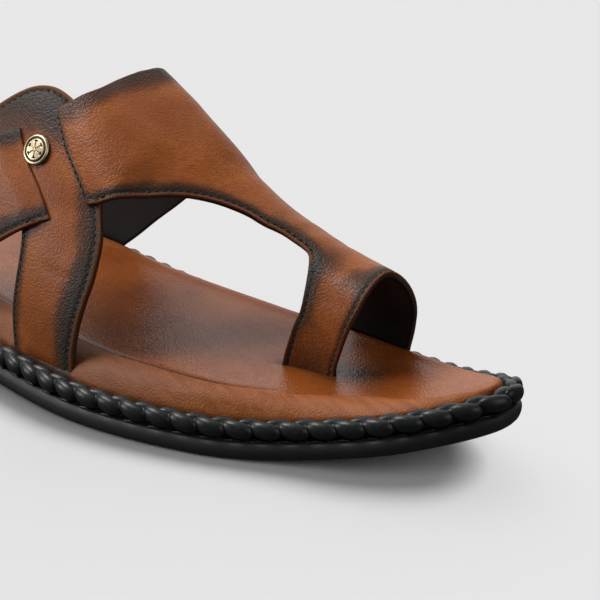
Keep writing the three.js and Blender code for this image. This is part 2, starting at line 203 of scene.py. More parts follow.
REAR_STRAP = [
    {
        "edge": "front end", "dye": [(1.5, 0.1)], "skive": 0.35,
        "points": [(-22, 25.3), (-17.5, 23.4), (-13.1, 21.9), (-6.2, 20.2), (1.3, 17.8)],
    },
    {
        "edge": "lower edge", "dye": [(7.5, 1.0)], "margin": 1.6, "raw": 1.0,
        "points": [(-8, 14.8), (-18.3, 11.7), (-30, 8.3), (-43, 4.3), (-54, 0)],
    },
    {"edge": "foot", "foot": True, "points": [(-56, -TUCK), (-94, -TUCK)]},
    {
        "edge": "back edge", "dye": [(6, 0.8)],
        "points": [(-94, 0), (-84, 6.5), (-68, 12.6), (-50, 18), (-36, 21.2), (-28, 23.2), (-22, 25.3)],
    },
]
PANEL_OVERLAP = {"x": (20, 30), "turn": (36, 44)}
STRAP_OVERLAP = (-52, -42)

# Soft troughs and ridges left by wear, in the flat patterns.
# Patches of darkening away from the edges, added to the dye, in the same form as the creases. They are partly
# real dye and partly painted shade: those on the lower ring leg, the ring's top, the bridge and the side
# panel's foot darken what faces away from the light.
PANEL_DYE_AND_SHADE = [
    (76, 37, 8, 5, 60, 0.45),
    (91, 40, 6, 4, 80, 0.4),
    (78, 2, 22, 12, 90, 0.36),
    (82, 32, 14, 12, 90, 0.2),
    (60, 45, 12, 9, 90, 0.1),
    (20, 31, 10, 3, 40, 0.2),
    (60, 47, 16, 4, 20, 0.15),
]
SIDE_DYE_AND_SHADE = [
    (-12, 30, 16, 7, 10, 0.35),
    (17, 10, 12, 6, 80, 0.2),
    (4, 2, 12, 14, 0, 0.2),
]
STRAP_DYE = [
    (-60, 5, 14, 7, 20, 0.3),
]

PANEL_CREASES = [
    # x, turn, half length mm, half width mm, direction degrees, rise
    (66, 47, 9, 2.2, 70, -0.35),
    (70, 44, 8, 1.8, 62, 0.25),
    (60, 52, 10, 2.6, 80, -0.3),
    (76, 60, 7, 1.8, 75, -0.22),
    (40, 62, 14, 3.2, 84, -0.3),
    (14, 52, 16, 3.5, 88, 0.25),
    (-30, 88, 12, 2.6, 60, -0.3),
    (30, 40, 12, 3, 30, -0.25),
]
SIDE_CREASES = [
    (8, 12, 8, 1.8, 10, -0.25),
    (4, 20, 10, 2.2, 25, -0.22),
    (-20, 29, 7, 1.6, 20, 0.2),
]
STRAP_CREASES = [
    (-45, 12, 10, 2.2, 70, -0.25),
    (-70, 6, 9, 2.2, 60, -0.22),
]

STUD = {"x": -11.9, "turn": 24.4, "radius": 5}

CAMERA = {"lens": 132, "azimuth": 42, "elevation": 24, "distance": 720, "target": (58.5, 14.5, 30)}


# Curves and surfaces, worked out on whole arrays at a time.

def column(table, k, x):
    """Smooth value of a table's column at x, with no overshoot between its rows."""
    rows = np.asarray(table, float)
    xs, ys = rows[:, 0], rows[:, k]
    slope = np.diff(ys) / np.diff(xs)
    tangent = np.concatenate([slope[:1], np.zeros(len(xs) - 2), slope[-1:]])
    same = slope[:-1] * slope[1:] > 0
    total = np.where(same, slope[:-1] + slope[1:], 1)
    tangent[1:-1] = np.where(same, 2 * slope[:-1] * slope[1:] / total, 0)
    at = np.clip(x, xs[0], xs[-1])
    i = np.clip(np.searchsorted(xs, at) - 1, 0, len(xs) - 2)
    width = xs[i + 1] - xs[i]
    s = (at - xs[i]) / width
    rise = s * s * (3 - 2 * s)
    bend = s * (1 - s) ** 2 * width * tangent[i] + s * s * (s - 1) * width * tangent[i + 1]
    return ys[i] + (ys[i + 1] - ys[i]) * rise + bend


def smooth(value, low, high):
    s = np.clip((value - low) / (high - low), 0, 1)
    return s * s * (3 - 2 * s)


def unit(vectors):
    return vectors / np.maximum(np.linalg.norm(vectors, axis=-1, keepdims=True), 1e-9)


def last_point(x, turn):
    """Points on the last's outside at x and turn."""
    outer_y, ridge_y, ridge_z, inner_y, foot_z, bulge, roundness = (column(LAST, k, x) for k in range(1, 8))
    angle = np.pi * np.clip(turn, 0, 100) / 100
    across = np.abs(np.cos(angle)) ** (2 / roundness)
    up = np.maximum(np.sin(angle), 0) ** (2 / roundness)
    beyond = np.maximum(0, np.maximum(-turn, turn - 100))
    outer = ridge_y - (ridge_y - outer_y) * across - bulge * np.sin(2 * angle)
    inner = ridge_y + (inner_y - ridge_y) * across
    z = foot_z + (ridge_z - foot_z) * up - TUCK_DROP * beyond
    return np.stack([x, np.where(turn < 50, outer, inner), z], axis=-1)


def last_slopes(x, turn, reach=0.6):
    """How the last's surface runs with x and with turn."""
    at = np.clip(turn, reach, 100 - reach)
    along_x = (last_point(x + reach, at) - last_point(x - reach, at)) / (2 * reach)
    along_turn = (last_point(x, at + reach) - last_point(x, at - reach)) / (2 * reach)
    return along_x, along_turn


def bend(x, turn, height):
    """Flat pattern points laid on the last, at a height over it."""
    along_x, along_turn = last_slopes(x, turn)
    normal = unit(np.cross(along_x, along_turn))
    return last_point(x, turn) + normal * np.asarray(height)[..., None]


def through(points, steps=8):
    """A smooth line through a few points."""
    p = np.asarray(points, float)
    line = []
    for i in range(len(p) - 1):
        before, after = p[max(i - 1, 0)], p[min(i + 2, len(p) - 1)]
        start, end = (p[i + 1] - before) / 2, (after - p[i]) / 2
        for s in np.arange(steps) / steps:
            line.append((2 * p[i] - 2 * p[i + 1] + start + end) * s ** 3
                        + (3 * p[i + 1] - 3 * p[i] - 2 * start - end) * s ** 2 + start * s + p[i])
    return np.array(line + [p[-1]])


def spaced(line, places, step):
    """A line's points at an even step, measured along the places where they lie."""
    run = np.concatenate([[0], np.cumsum(np.linalg.norm(np.diff(places, axis=0), axis=1))])
    count = max(1, round(run[-1] / step))
    at = np.linspace(0, run[-1], count + 1)
    return np.stack([np.interp(at, run, line[:, k]) for k in range(line.shape[1])], axis=-1)


def distance_to(points, line, closed=False):
    """Distance from each point to a line of closely spaced points."""
    ends = np.roll(line, -1, axis=0) if closed else line[1:]
    starts = line if closed else line[:-1]
    run = ends - starts
    size = np.maximum((run ** 2).sum(axis=1), 1e-12)
    best = np.full(len(points), 1e9)
    for low in range(0, len(points), 1500):
        part = points[low:low + 1500, None, :] - starts[None, :, :]
        share = np.clip((part * run).sum(axis=2) / size, 0, 1)
        best[low:low + 1500] = np.linalg.norm(part - share[..., None] * run, axis=2).min(axis=1)
    return best


def nearest(points, line):
    """Distance from each point to a line, and how far along it the nearest place is, from 0 to 1."""
    count = len(line)
    best, share = np.empty(len(points)), np.empty(len(points))
    for low in range(0, len(points), 1500):
        away = np.linalg.norm(points[low:low + 1500, None, :] - line[None, :, :], axis=2)
        at = away.argmin(axis=1)
        best[low:low + 1500] = away[np.arange(len(at)), at]
        share[low:low + 1500] = at / (count - 1)
    return np.minimum(best, distance_to(points, line)), share


def along_list(share, rows, k):
    """The k-th value of evenly spaced rows at a share of the way along."""
    rows = rows * 2 if len(rows) == 1 else rows
    return np.interp(share, np.linspace(0, 1, len(rows)), [row[k] for row in rows])


def waviness(points, size, seed):
    """Slow, repeatable unevenness between -1 and 1."""
    phases = np.random.default_rng(seed).uniform(0, 2 * np.pi, (6, 4))
    total = np.zeros(len(points))
    for a, b, c, d in phases:
        way = np.array([math.cos(a) * math.sin(b), math.sin(a) * math.sin(b), math.cos(b)])
        total += np.sin(points @ way * (2 * np.pi / size) * (0.7 + 0.6 * c / (2 * np.pi)) + d)
    return total / 6


# Making meshes and objects.

def new_piece(name, points, faces, node, materials, slots=None, marks=None):
    """A smooth mesh piece in millimetres that rides on the sandal and stands for a node of it."""
    mesh = bpy.data.meshes.new(name)
    mesh.from_pydata((np.asarray(points) * MM).tolist(), [], faces)
    for material in materials:
        mesh.materials.append(material)
    if slots is not None:
        mesh.polygons.foreach_set("material_index", np.asarray(slots, dtype=np.int32))
    mesh.polygons.foreach_set("use_smooth", np.ones(len(mesh.polygons), dtype=bool))
    for key, values in (marks or {}).items():
        layer = mesh.attributes.new(key, "FLOAT", "POINT")
        layer.data.foreach_set("value", np.asarray(values, dtype=np.float32))
    mesh.update()
    piece = bpy.data.objects.new(name, mesh)
    bpy.context.scene.collection.objects.link(piece)
    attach(piece, "root")
    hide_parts(node)
    return piece


def grid_faces(rows, columns, closed_rows=False, closed_columns=False, start=0, flip=False):
    faces = []
    for i in range(rows if closed_rows else rows - 1):
        for j in range(columns if closed_columns else columns - 1):
            a = start + i * columns + j
            b = start + i * columns + (j + 1) % columns
            c = start + ((i + 1) % rows) * columns + (j + 1) % columns
            d = start + ((i + 1) % rows) * columns + j
            faces.append((a, d, c, b) if flip else (a, b, c, d))
    return faces


# The sole's edge.

RIM_STEPS = 32


def spring(x):
    s = np.maximum(0, x - SPRING["start"]) / (SPRING["end"] - SPRING["start"])
    return SPRING["rise"] * s * s


def rim():
    """The sole's edge as points with their inward directions, on the same curve as the solids."""
    p = np.asarray(OUTLINE, float)
    count = len(p) * RIM_STEPS

    def place(t):
        k = np.floor(t * len(p)).astype(int)
        s = (t * len(p) - k)[:, None]
        x0, x1, x2, x3 = (p[(k + j) % len(p)] for j in (-1, 0, 1, 2))
        pairs = (x0, x1), (x1, x2), (x2, x3)
        d0, d1, d2 = (np.linalg.norm(b - a, axis=1)[:, None] ** 0.5 for a, b in pairs)
        start = ((x1 - x0) / d0 - (x2 - x0) / (d0 + d1) + (x2 - x1) / d1) * d1
        end = ((x2 - x1) / d1 - (x3 - x1) / (d1 + d2) + (x3 - x2) / d2) * d1
        second = 3 * x2 - 3 * x1 - 2 * start - end
        third = 2 * x1 - 2 * x2 + start + end
        return x1 + start * s + second * s ** 2 + third * s ** 3

    t = np.arange(count) / count
    step = 1e-4
    along = unit(place((t + step) % 1) - place((t - step) % 1))
    return place(t), np.stack([-along[:, 1], along[:, 0]], axis=-1)


RIM, INWARD = rim()
TOE = TOE_ROW * RIM_STEPS
IS_INNER = np.arange(len(RIM)) > TOE


def loop_at(inset, z):
    p = RIM + INWARD * np.asarray(inset).reshape(-1, 1)
    return np.column_stack([p, z + spring(p[:, 0])])


def shoulder():
    """Inset and height of the footbed's shoulder at each point of the sole's edge."""
    x = RIM[:, 0]
    inset = np.where(IS_INNER, column(SHOULDER, 3, x), column(SHOULDER, 1, x))
    z = np.where(IS_INNER, column(SHOULDER, 4, x), column(SHOULDER, 2, x))
    return inset, z


def arch_rise(x, y):
    along = np.clip((x - ARCH["from"]) / (ARCH["to"] - ARCH["from"]), 0, 1)
    return ARCH["rise"] * np.sin(np.pi * along) ** 2 * smooth(y, ARCH["clear_of"], ARCH["full"])


def across_rows(loop, shares, height):
    """Rows of points across a loop, from its outer side to its inner side. Height gives each row's z."""
    n = len(loop)
    rows = []
    for i in range(1, TOE):
        outer, inner = loop[i], loop[n - i]
        v = shares(np.linalg.norm(inner[:2] - outer[:2]))
        points = outer[None, :] * (1 - v[:, None]) + inner[None, :] * v[:, None]
        points[:, 2] = height(points, v, outer[2], inner[2])
        rows.append(points)
    return rows


def cover_faces(base, count, columns, start, flip):
    """Faces that fill a loop at index base with rows of points from index start."""
    def row(i):
        if i == 0 or i == TOE:
            return [base + i] * (columns + 2)
        first = start + (i - 1) * columns
        return [base + i, *range(first, first + columns), base + count - i]

    faces = []
    here = row(0)
    for i in range(TOE):
        following = row(i + 1)
        for k in range(columns + 1):
            corners = [here[k], following[k], following[k + 1], here[k + 1]]
            if flip:
                corners.reverse()
            face = [c for j, c in enumerate(corners) if c != corners[j - 1]]
            if len(face) > 2:
                faces.append(tuple(face))
        here = following
    return faces


# Shader maths.

class Socket:
    """A value in a shader. Sums written on it add the nodes that work them out."""

    def __init__(self, finish, link):
        self.finish = finish
        self.link = link

    def sum(self, operation, *values):
        return self.finish.node("ShaderNodeMath", {"operation": operation}, dict(enumerate(values)))

    def __add__(self, other):
        return self.sum("ADD", self, other)

    def __radd__(self, other):
        return self.sum("ADD", other, self)

    def __sub__(self, other):
        return self.sum("SUBTRACT", self, other)

    def __rsub__(self, other):
        return self.sum("SUBTRACT", other, self)

    def __mul__(self, other):
        return self.sum("MULTIPLY", self, other)

    def __rmul__(self, other):
        return self.sum("MULTIPLY", other, self)

    def __truediv__(self, other):
        return self.sum("DIVIDE", self, other)

    def __pow__(self, other):
        return self.sum("POWER", self, other)


class Nodes:
    """A tree of nodes that is added to one node at a time."""

    def __init__(self, tree):
        self.tree = tree

    def node(self, kind, settings=None, sockets=None, output=0):
        made = self.tree.nodes.new(kind)
        for key, value in (settings or {}).items():
            setattr(made, key, value)
        for key, value in (sockets or {}).items():
            if isinstance(value, Socket):
                self.tree.links.new(value.link, made.inputs[key])
            else:
                made.inputs[key].default_value = value
        return Socket(self, made.outputs[output])

    def step(self, value, low, high, start=0.0, end=1.0):
        """A soft step from start to end as the value goes from low to high."""
        return self.node("ShaderNodeMapRange", {"interpolation_type": "SMOOTHSTEP"}, {
            "Value": value, "From Min": low, "From Max": high, "To Min": start, "To Max": end,
        })


class Finish(Nodes):
    """A material, with the nodes that its pattern is made of."""

    def __init__(self, name):
        self.material = bpy.data.materials.new(name)
        self.material.use_nodes = True
        super().__init__(self.material.node_tree)
        self.tree.nodes.clear()
        self.object = self.node("ShaderNodeTexCoord", output="Object")

    def mark(self, name):
        """A value stored on the mesh's points."""
        return self.node("ShaderNodeAttribute", {"attribute_name": name}, output="Fac")

    def noise(self, size, detail=3.0, roughness=0.55, longer=(1, 1, 1), turn=0):
        """Noise with features of a size in millimetres, longer along axes turned by some degrees about Z."""
        scaled = self.node("ShaderNodeMapping", {"vector_type": "TEXTURE"}, {
            "Vector": self.object, "Scale": longer, "Rotation": (0, 0, math.radians(turn)),
        })
        return self.node("ShaderNodeTexNoise", {}, {
            "Vector": scaled, "Scale": 1 / (size * MM), "Detail": detail, "Roughness": roughness,
        })

    def cells(self, size, feature="F1", output="Distance"):
        """Rounded cells of a size in millimetres, a little uneven."""
        scale = 0.5 / (size * MM)
        wander = self.node("ShaderNodeTexNoise", {}, {"Vector": self.object, "Scale": scale}, "Color")
        moved = self.node("ShaderNodeVectorMath", {"operation": "MULTIPLY_ADD"}, {
            0: wander, 1: (size * MM * 0.8,) * 3, 2: self.object,
        })
        values = {"Vector": moved, "Scale": 1 / (size * MM)}
        return self.node("ShaderNodeTexVoronoi", {"feature": feature}, values, output)

    def mix(self, factor, first, second, blend="MIX"):
        """Two colours mixed."""
        return self.node("ShaderNodeMix", {"data_type": "RGBA", "blend_type": blend}, {
            0: factor, 6: rgba(first), 7: rgba(second),
        }, 2)

    def bump(self, height, depth, strength=1.0):
        """A normal for a height between 0 and 1 and a depth in millimetres."""
        values = {"Height": height, "Distance": depth * MM, "Strength": strength}
        return self.node("ShaderNodeBump", {}, values)

    def surface(self, sockets):
        shader = self.node("ShaderNodeBsdfPrincipled", {}, sockets)
        self.node_output(shader)
        return self.material

    def node_output(self, shader):
        output = self.tree.nodes.new("ShaderNodeOutputMaterial")
        self.tree.links.new(shader.link, output.inputs["Surface"])


def rgba(colour):
    return colour if isinstance(colour, Socket) else (*colour[:3], 1.0)


def strap_leather(colours):
    """Tan leather with pebble grain and fine streaks, dyed nearly black towards its edges."""
    f = Finish("tan_strap_leather")
    mark, raw, seam = f.mark("dye"), f.mark("raw"), f.mark("seam")
    cloud = f.noise(16, 3)
    streak = f.noise(0.75, 4, 0.6, longer=(9, 1, 1), turn=42)
    pebble = f.cells(0.62, "SMOOTH_F1")
    fine = f.noise(0.35, 2)
    dye = (mark + (f.noise(6, 3) - 0.5) * 0.3 * f.step(mark, 0, 0.2)
           + (f.noise(1.1, 3) - 0.5) * 0.25 * f.step(mark, 0, 0.3))
    tan = f.mix(f.step(cloud, 0.3, 0.7), colours.tan_light, colours.tan_deep)
    tan = f.mix(f.step(streak, 0.45, 0.62, 0, 0.7), tan, colours.tan_deep)
    warm = f.mix(f.step(dye, 0.0, 0.5), tan, colours.dye_warm)
    dyed = f.mix(f.step(dye, 0.25, 0.9), warm, colours.dye_dark_and_slot_shade)
    dyed = f.mix(f.step(seam, 0.7, 0.2, 0, 0.8), dyed, colours.dye_dark_and_slot_shade)
    colour = f.mix(raw, dyed, f.mix(f.step(fine, 0.3, 0.7, 0, 0.5), colours.raw_edge, colours.tan_deep))
    grain = f.step(pebble, 0.05, 0.7) * (0.5 + f.step(dye, 0.05, 0.6, 0, 0.4)) + fine * 0.3 + streak * 0.9
    rough = 0.37 + (fine - 0.5) * 0.12 + raw * 0.25 + f.step(dye, 0.3, 0.9, 0, 0.08)
    return f.surface({
        "Base Color": colour, "Roughness": rough, "Normal": f.bump(grain, 0.135, 0.85),
        "Specular IOR Level": 0.3,
    })


def lining_leather(colours):
    f = Finish("black_strap_lining")
    fine = f.noise(0.5, 3)
    colour = f.mix(f.step(f.noise(9, 3), 0.3, 0.7), colours.lining, tuple(c * 1.6 for c in colours.lining))
    return f.surface({
        "Base Color": colour, "Roughness": 0.62 + (fine - 0.5) * 0.2, "Normal": f.bump(fine, 0.06, 0.6),
        "Specular IOR Level": 0.3,
    })


def edge_leather(colours):
    """The cut edge of a strap: two layers of leather with a dark glue line between."""
    f = Finish("raw_strap_edge")
    layer = f.mark("layer")
    fibres = f.noise(0.6, 4, 0.7)
    worn, fresh = (tuple(c * share for c in colours.raw_edge) for share in (0.6, 0.35))
    upper = f.mix(f.step(fibres, 0.3, 0.7), worn, fresh)
    dyed = f.mix(f.step(fibres, 0.3, 0.7), tuple(c * 0.6 for c in colours.dye_warm), colours.dye_dark_and_slot_shade)
    upper = f.mix(f.mark("raw"), dyed, upper)
    colour = f.mix(f.step(layer, 0.5, 0.6), upper, colours.dye_dark_and_slot_shade)
    return f.surface({
        "Base Color": colour, "Roughness": 0.6 + (fibres - 0.5) * 0.3, "Normal": f.bump(fibres, 0.15, 0.8),
        "Specular IOR Level": 0.35,
    })


def thread(colours):
    f = Finish("dark_waxed_thread")
    twist = f.noise(0.3, 2)
    colour = f.mix(twist, colours.thread, tuple(c * 2 for c in colours.thread))
    return f.surface({"Base Color": colour, "Roughness": 0.5 + (twist - 0.5) * 0.2})


def footbed_leather(colours):
    """Brown padded leather, its side painted lighter and more orange as if lit, with a dark line above the
    shoulder, and painted shade under the ring and straps and round their slots.
    """
    f = Finish("brown_footbed_leather")
    side, line, slot, shade = f.mark("side"), f.mark("line"), f.mark("slot"), f.mark("shade")
    cloud = f.noise(22, 3)
    wisps = f.noise(2.4, 4, 0.6, longer=(4, 1, 1), turn=-10)
    pebble = f.cells(0.55, "SMOOTH_F1")
    fine = f.noise(0.3, 2)
    top = f.mix(f.step(cloud, 0.3, 0.7), colours.footbed_top, colours.footbed_deep)
    top = f.mix(f.step(wisps, 0.35, 0.75, 0, 0.35), top, colours.footbed_side)
    # Painted light: the side is the same leather as the top, given a lighter, more orange colour where it faces
    # the light.
    colour = f.mix(side, top, f.mix(f.step(wisps, 0.3, 0.7), colours.footbed_side, colours.footbed_side_deep))
    # Painted shade: the shade mark darkens the footbed towards footbed_shade where the ring and straps shade
    # it.
    colour = f.mix(shade * (0.75 + (cloud - 0.5) * 0.8), colour, colours.footbed_shade)
    colour = f.mix(f.step(line, 1.3, 0.2, 0, 0.8), colour, colours.footbed_shade)
    # Painted shade: darkened nearly to the dark dye colour round the slots where the straps go into the
    # footbed.
    colour = f.mix(f.step(slot, 2.4, 0.5, 0, 0.85), colour, colours.dye_dark_and_slot_shade)
    grain = f.step(pebble, 0.05, 0.8) + fine * 0.4 + wisps * 0.25
    return f.surface({
        "Base Color": colour, "Roughness": 0.26 + side * 0.3 + (fine - 0.5) * 0.12 + (cloud - 0.5) * 0.06,
        "Normal": f.bump(grain, 0.11, 0.8), "Specular IOR Level": 0.38,
    })


def rope_cord(colours):
    f = Finish("dark_waxed_rope")
    fibres = f.noise(1.1, 4, 0.6)
    fine = f.noise(0.35, 2)
    colour = f.mix(f.step(fibres, 0.3, 0.7), colours.rope, tuple(c * 1.5 for c in colours.rope))
    # Painted shade: each lump's tucked end and the core between the lumps are darkened nearly to black.
    colour = f.mix(f.mark("painted_rope_shade") * 0.8, colour, (0.002, 0.002, 0.002))
    return f.surface({
        "Base Color": colour, "Roughness": 0.36 + (fibres - 0.5) * 0.2,
        "Normal": f.bump(fibres + fine * 0.4, 0.09, 0.7),
        "Specular IOR Level": 0.45,
    })


def sole_rubber(colours):
    f = Finish("black_sole_rubber")
    speck = f.noise(0.7, 3)
    cloud = f.noise(16, 3)
    dust = f.step(cloud, 0.5, 0.8, 0, 0.3)
    colour = f.mix(dust, colours.rubber, tuple(c * 1.5 + 0.002 for c in colours.rubber))
    return f.surface({
        "Base Color": colour, "Roughness": 0.55 + (speck - 0.5) * 0.2 + dust * 0.2,
        "Normal": f.bump(speck + f.noise(5, 2) * 0.6, 0.1, 0.6), "Specular IOR Level": 0.4,
    })


def stud_brass(colours):
    """Antique brass: bright on what stands proud, dark in the recesses."""
    f = Finish("antique_stud_brass")
    proud = f.mark("proud")
    tarnish = f.noise(1.4, 4)
    bright = f.step(proud + (tarnish - 0.5) * 0.5, 0.25, 0.7)
    colour = f.mix(bright, colours.brass_dark, colours.brass)
    return f.surface({
        "Base Color": colour, "Roughness": 0.5 - bright * 0.12 + (tarnish - 0.5) * 0.15,
        "Metallic": 0.35 + bright * 0.65,
        "Normal": f.bump(tarnish, 0.05, 0.5),
    })


def floor_paper(colours):
    f = Finish("pale_floor")
    return f.surface({"Base Color": rgba(colours.floor), "Roughness": 0.9, "Specular IOR Level": 0.1})


# The straps.

RINGS = (0.12, 0.3, 0.6, 1.0, 1.4, 1.8, 2.2, 2.7, 3.4, 4.4, 5.6)


class Pattern:
    """A flat leather pattern: its outline, its named edges, and where it is raised over another piece."""

    def __init__(self, edges, lift, step=0.8):
        self.lift = lift
        self.edges = []
        outline = []
        start = np.asarray(edges[-1]["points"][-1], float)
        for edge in edges:
            points = np.asarray(edge["points"], float)
            if edge.get("foot"):
                line = np.vstack([start, points])
            elif np.allclose(start, points[0]):
                line = through(points)
            else:
                line = np.vstack([start, through(points)])
            line = spaced(line, last_point(line[:, 0], line[:, 1]), step)
            self.edges.append({**edge, "line": line})
            outline.append(line[:-1])
            start = line[-1]
        self.outline = np.vstack(outline)

    def height(self, flat, leather):
        return self.lift(flat[:, 0], flat[:, 1]) * leather

    def free_lines(self, leather):
        """The edges that show, as lines in space, each with its own facts."""
        for edge in self.edges:
            if not edge.get("foot"):
                line = edge["line"]
                yield edge, bend(line[:, 0], line[:, 1], self.height(line, leather))

    def inside(self, points):
        """Which flat points lie inside the outline."""
        a, b = self.outline, np.roll(self.outline, -1, axis=0)
        hits = np.zeros(len(points), dtype=int)
        for (ax, ay), (bx, by) in zip(a, b):
            if ay != by:
                spans = (ay > points[:, 1]) != (by > points[:, 1])
                hits += spans & (points[:, 0] < (bx - ax) * (points[:, 1] - ay) / (by - ay) + ax)
        return hits % 2 == 1

    def rings(self):
        """Flat points at set distances inside the outline."""
        line = self.outline
        along = np.roll(line, -1, axis=0) - np.roll(line, 1, axis=0)
        along_x, along_turn = last_slopes(line[:, 0], line[:, 1])
        way = unit(along_x * along[:, :1] + along_turn * along[:, 1:])
        inward = np.cross(unit(np.cross(along_x, along_turn)), way)
        pairs = (along_x, along_x), (along_x, along_turn), (along_turn, along_turn)
        xx, xt, tt = ((a * b).sum(axis=1) for a, b in pairs)
        bx, bt = (along_x * inward).sum(axis=1), (along_turn * inward).sum(axis=1)
        size = xx * tt - xt * xt
        step = np.stack([(tt * bx - xt * bt) / size, (xx * bt - xt * bx) / size], axis=-1)
        x, y = line[:, 0], line[:, 1]
        turning = (x * np.roll(y, -1) - np.roll(x, -1) * y).sum()
        return [line + step * (d if turning > 0 else -d) for d in RINGS]


def strap_marks(pattern, flat, patches, leather):
    """At flat points: distance to the cut edge and the stitches, the dye, the undyed strip and the thinning."""
    places = bend(flat[:, 0], flat[:, 1], pattern.height(flat, leather))
    edge, seam = np.full(len(flat), 1e3), np.full(len(flat), 1e3)
    dye, raw, thin = np.zeros(len(flat)), np.zeros(len(flat)), np.ones(len(flat))
    uneven = 1 + 0.3 * waviness(places, 30, 3) + 0.15 * waviness(places, 9, 5)
    for facts, line in pattern.free_lines(leather):
        away, share = nearest(places, line)
        edge = np.minimum(edge, away)
        reach = along_list(share, facts["dye"], 0) * uneven
        dye = np.maximum(dye, along_list(share, facts["dye"], 1) * (1 - smooth(away / reach, 0.1, 1.2)))
        if "raw" in facts:
            raw = np.maximum(raw, 1 - smooth(away - facts["raw"], -0.25, 0.25))
        if "skive" in facts:
            thin = np.minimum(thin, facts["skive"] + (1 - facts["skive"]) * smooth(away, 0, 11))
        if "margin" in facts:
            seam = np.minimum(seam, np.abs(away - facts["margin"]))
    # The patches add to the dye; some of them are painted shade.
    return edge, seam, np.clip(dye + creased(flat, patches), 0, 1), raw, thin


def creased(flat, creases):
    """Height of the creases at flat points."""
    total = np.zeros(len(flat))
    for x, turn, length, width, direction, rise in creases:
        per_turn = np.linalg.norm(last_slopes(np.array([x]), np.array([turn]))[1])
        dx, dy = flat[:, 0] - x, (flat[:, 1] - turn) * per_turn
        a = math.radians(direction)
        along, aside = dx * math.cos(a) + dy * math.sin(a), dy * math.cos(a) - dx * math.sin(a)
        total += rise * np.exp(-(along / length) ** 2 - (aside / width) ** 2)
    return total


def make_strap(name, pattern, creases, patches, sizes, materials):
    """A strap as a closed wall: outer leather with rounded, stitched edges, a cut edge and a lining."""
    leather = sizes.leather / MM
    outline = pattern.outline
    count = len(outline)
    spacing = 1.7
    low, high = outline.min(axis=0), outline.max(axis=0)
    xs = np.arange(low[0], high[0], spacing)
    turns = np.arange(low[1], high[1], spacing / 2.2)
    grid = np.stack(np.meshgrid(xs, turns, indexing="ij"), axis=-1)
    grid[::2, :, 1] += spacing / 4.4
    grid = grid.reshape(-1, 2)
    space_line = last_point(outline[:, 0], outline[:, 1])
    chosen = [outline]
    for ring, depth in zip(pattern.rings(), RINGS):
        keep = pattern.inside(ring)
        ring = ring[keep]
        away = distance_to(last_point(ring[:, 0], ring[:, 1]), space_line, closed=True)
        chosen.append(ring[away > depth * 0.93])
    grid = grid[pattern.inside(grid)]
    away = distance_to(last_point(grid[:, 0], grid[:, 1]), space_line, closed=True)
    chosen.append(grid[away > RINGS[-1] + spacing * 0.6])
    flat = np.vstack(chosen)
    scaled = flat * (1, 2.2)
    loop = [(i, (i + 1) % count) for i in range(count)]
    verts, _, triangles, *_ = delaunay_2d_cdt([Vector(p) for p in scaled.tolist()], loop, [], 1, 1e-6)
    verts = np.array([tuple(v) for v in verts])
    if len(verts) != len(flat):
        raise RuntimeError(f"{name}: the pattern's points don't fit together")
    flat = verts / (1, 2.2)
    triangles = [tuple(t) for t in triangles]
    edge, seam, dye, raw, thin = strap_marks(pattern, flat, patches, leather)
    raised = pattern.height(flat, leather) * thin
    places = last_point(flat[:, 0], flat[:, 1])
    rounding = 0.45 * (1 - np.sqrt(1 - (1 - np.clip(edge / 0.6, 0, 1)) ** 2))
    groove = sizes.stitch_depth / MM * np.exp(-(seam / 0.55) ** 2)
    soft = creased(flat, creases) * smooth(edge, 1, 7) + 0.1 * waviness(places, 26, 11) * smooth(edge, 1, 8)
    outer = bend(flat[:, 0], flat[:, 1], raised - rounding - groove + soft)
    under = 0.35 * (1 - np.sqrt(1 - (1 - np.clip(edge / 0.6, 0, 1)) ** 2))
    inner = bend(flat[:, 0], flat[:, 1], raised - leather + 0.06 + under + soft)
    n = len(flat)
    points = [outer, inner]
    faces = list(triangles) + [tuple(i + n for i in reversed(t)) for t in triangles]
    slots = [0] * len(triangles) + [1] * len(triangles)
    # The cut edge, in thin rows from the outer leather to the lining.
    shares = (0.3, 0.55, 0.62, 0.8)
    top, bottom = outer[:count], inner[:count]
    away = unit(np.cross(np.roll(top, -1, axis=0) - np.roll(top, 1, axis=0), top - bottom))
    if np.mean(np.einsum("ij,ij->i", away, top - outer[count:2 * count].mean(axis=0))) < 0:
        away = -away
    rows = [np.arange(count)]
    for k, share in enumerate(shares):
        swell = 0.1 * math.sin(math.pi * share) - (0.12 if share in (0.55, 0.62) else 0)
        points.append(top * (1 - share) + bottom * share + away * swell)
        rows.append(2 * n + k * count + np.arange(count))
    rows.append(n + np.arange(count))
    forward = triangles_run_forward(triangles)
    for upper, lower in zip(rows, rows[1:]):
        for i in range(count):
            j = (i + 1) % count
            face = (upper[j], upper[i], lower[i], lower[j])
            face = face if forward else (face[1], face[0], face[3], face[2])
            faces.append(tuple(int(v) for v in face))
            slots.append(2)
    shares_all = [np.zeros(n), np.ones(n)] + [np.full(count, s) for s in shares]
    extra = len(shares) * count
    marks = {
        "raw": np.concatenate([raw, raw, np.tile(raw[:count], len(shares))]),
        "dye": np.concatenate([dye, dye, np.tile(dye[:count], len(shares))]),
        "seam": np.concatenate([seam, seam, np.full(extra, 9.0)]),
        "layer": np.concatenate(shares_all),
    }
    return new_piece(name, np.vstack(points), faces, "upper", materials, slots, marks)


def triangles_run_forward(triangles):
    """Whether the outline's first side runs the same way as the triangle on it."""
    for a, b, c in triangles:
        for first, second in ((a, b), (b, c), (c, a)):
            if (first, second) == (0, 1):
                return True
            if (first, second) == (1, 0):
                return False
    return True


def capsule_rows(length, radius):
    """Rings of a short thread with round ends, as places along it and radii."""
    return [(-0.5 * length, 0.35 * radius), (-0.36 * length, 0.9 * radius), (0, radius),
            (0.36 * length, 0.9 * radius), (0.5 * length, 0.35 * radius)]


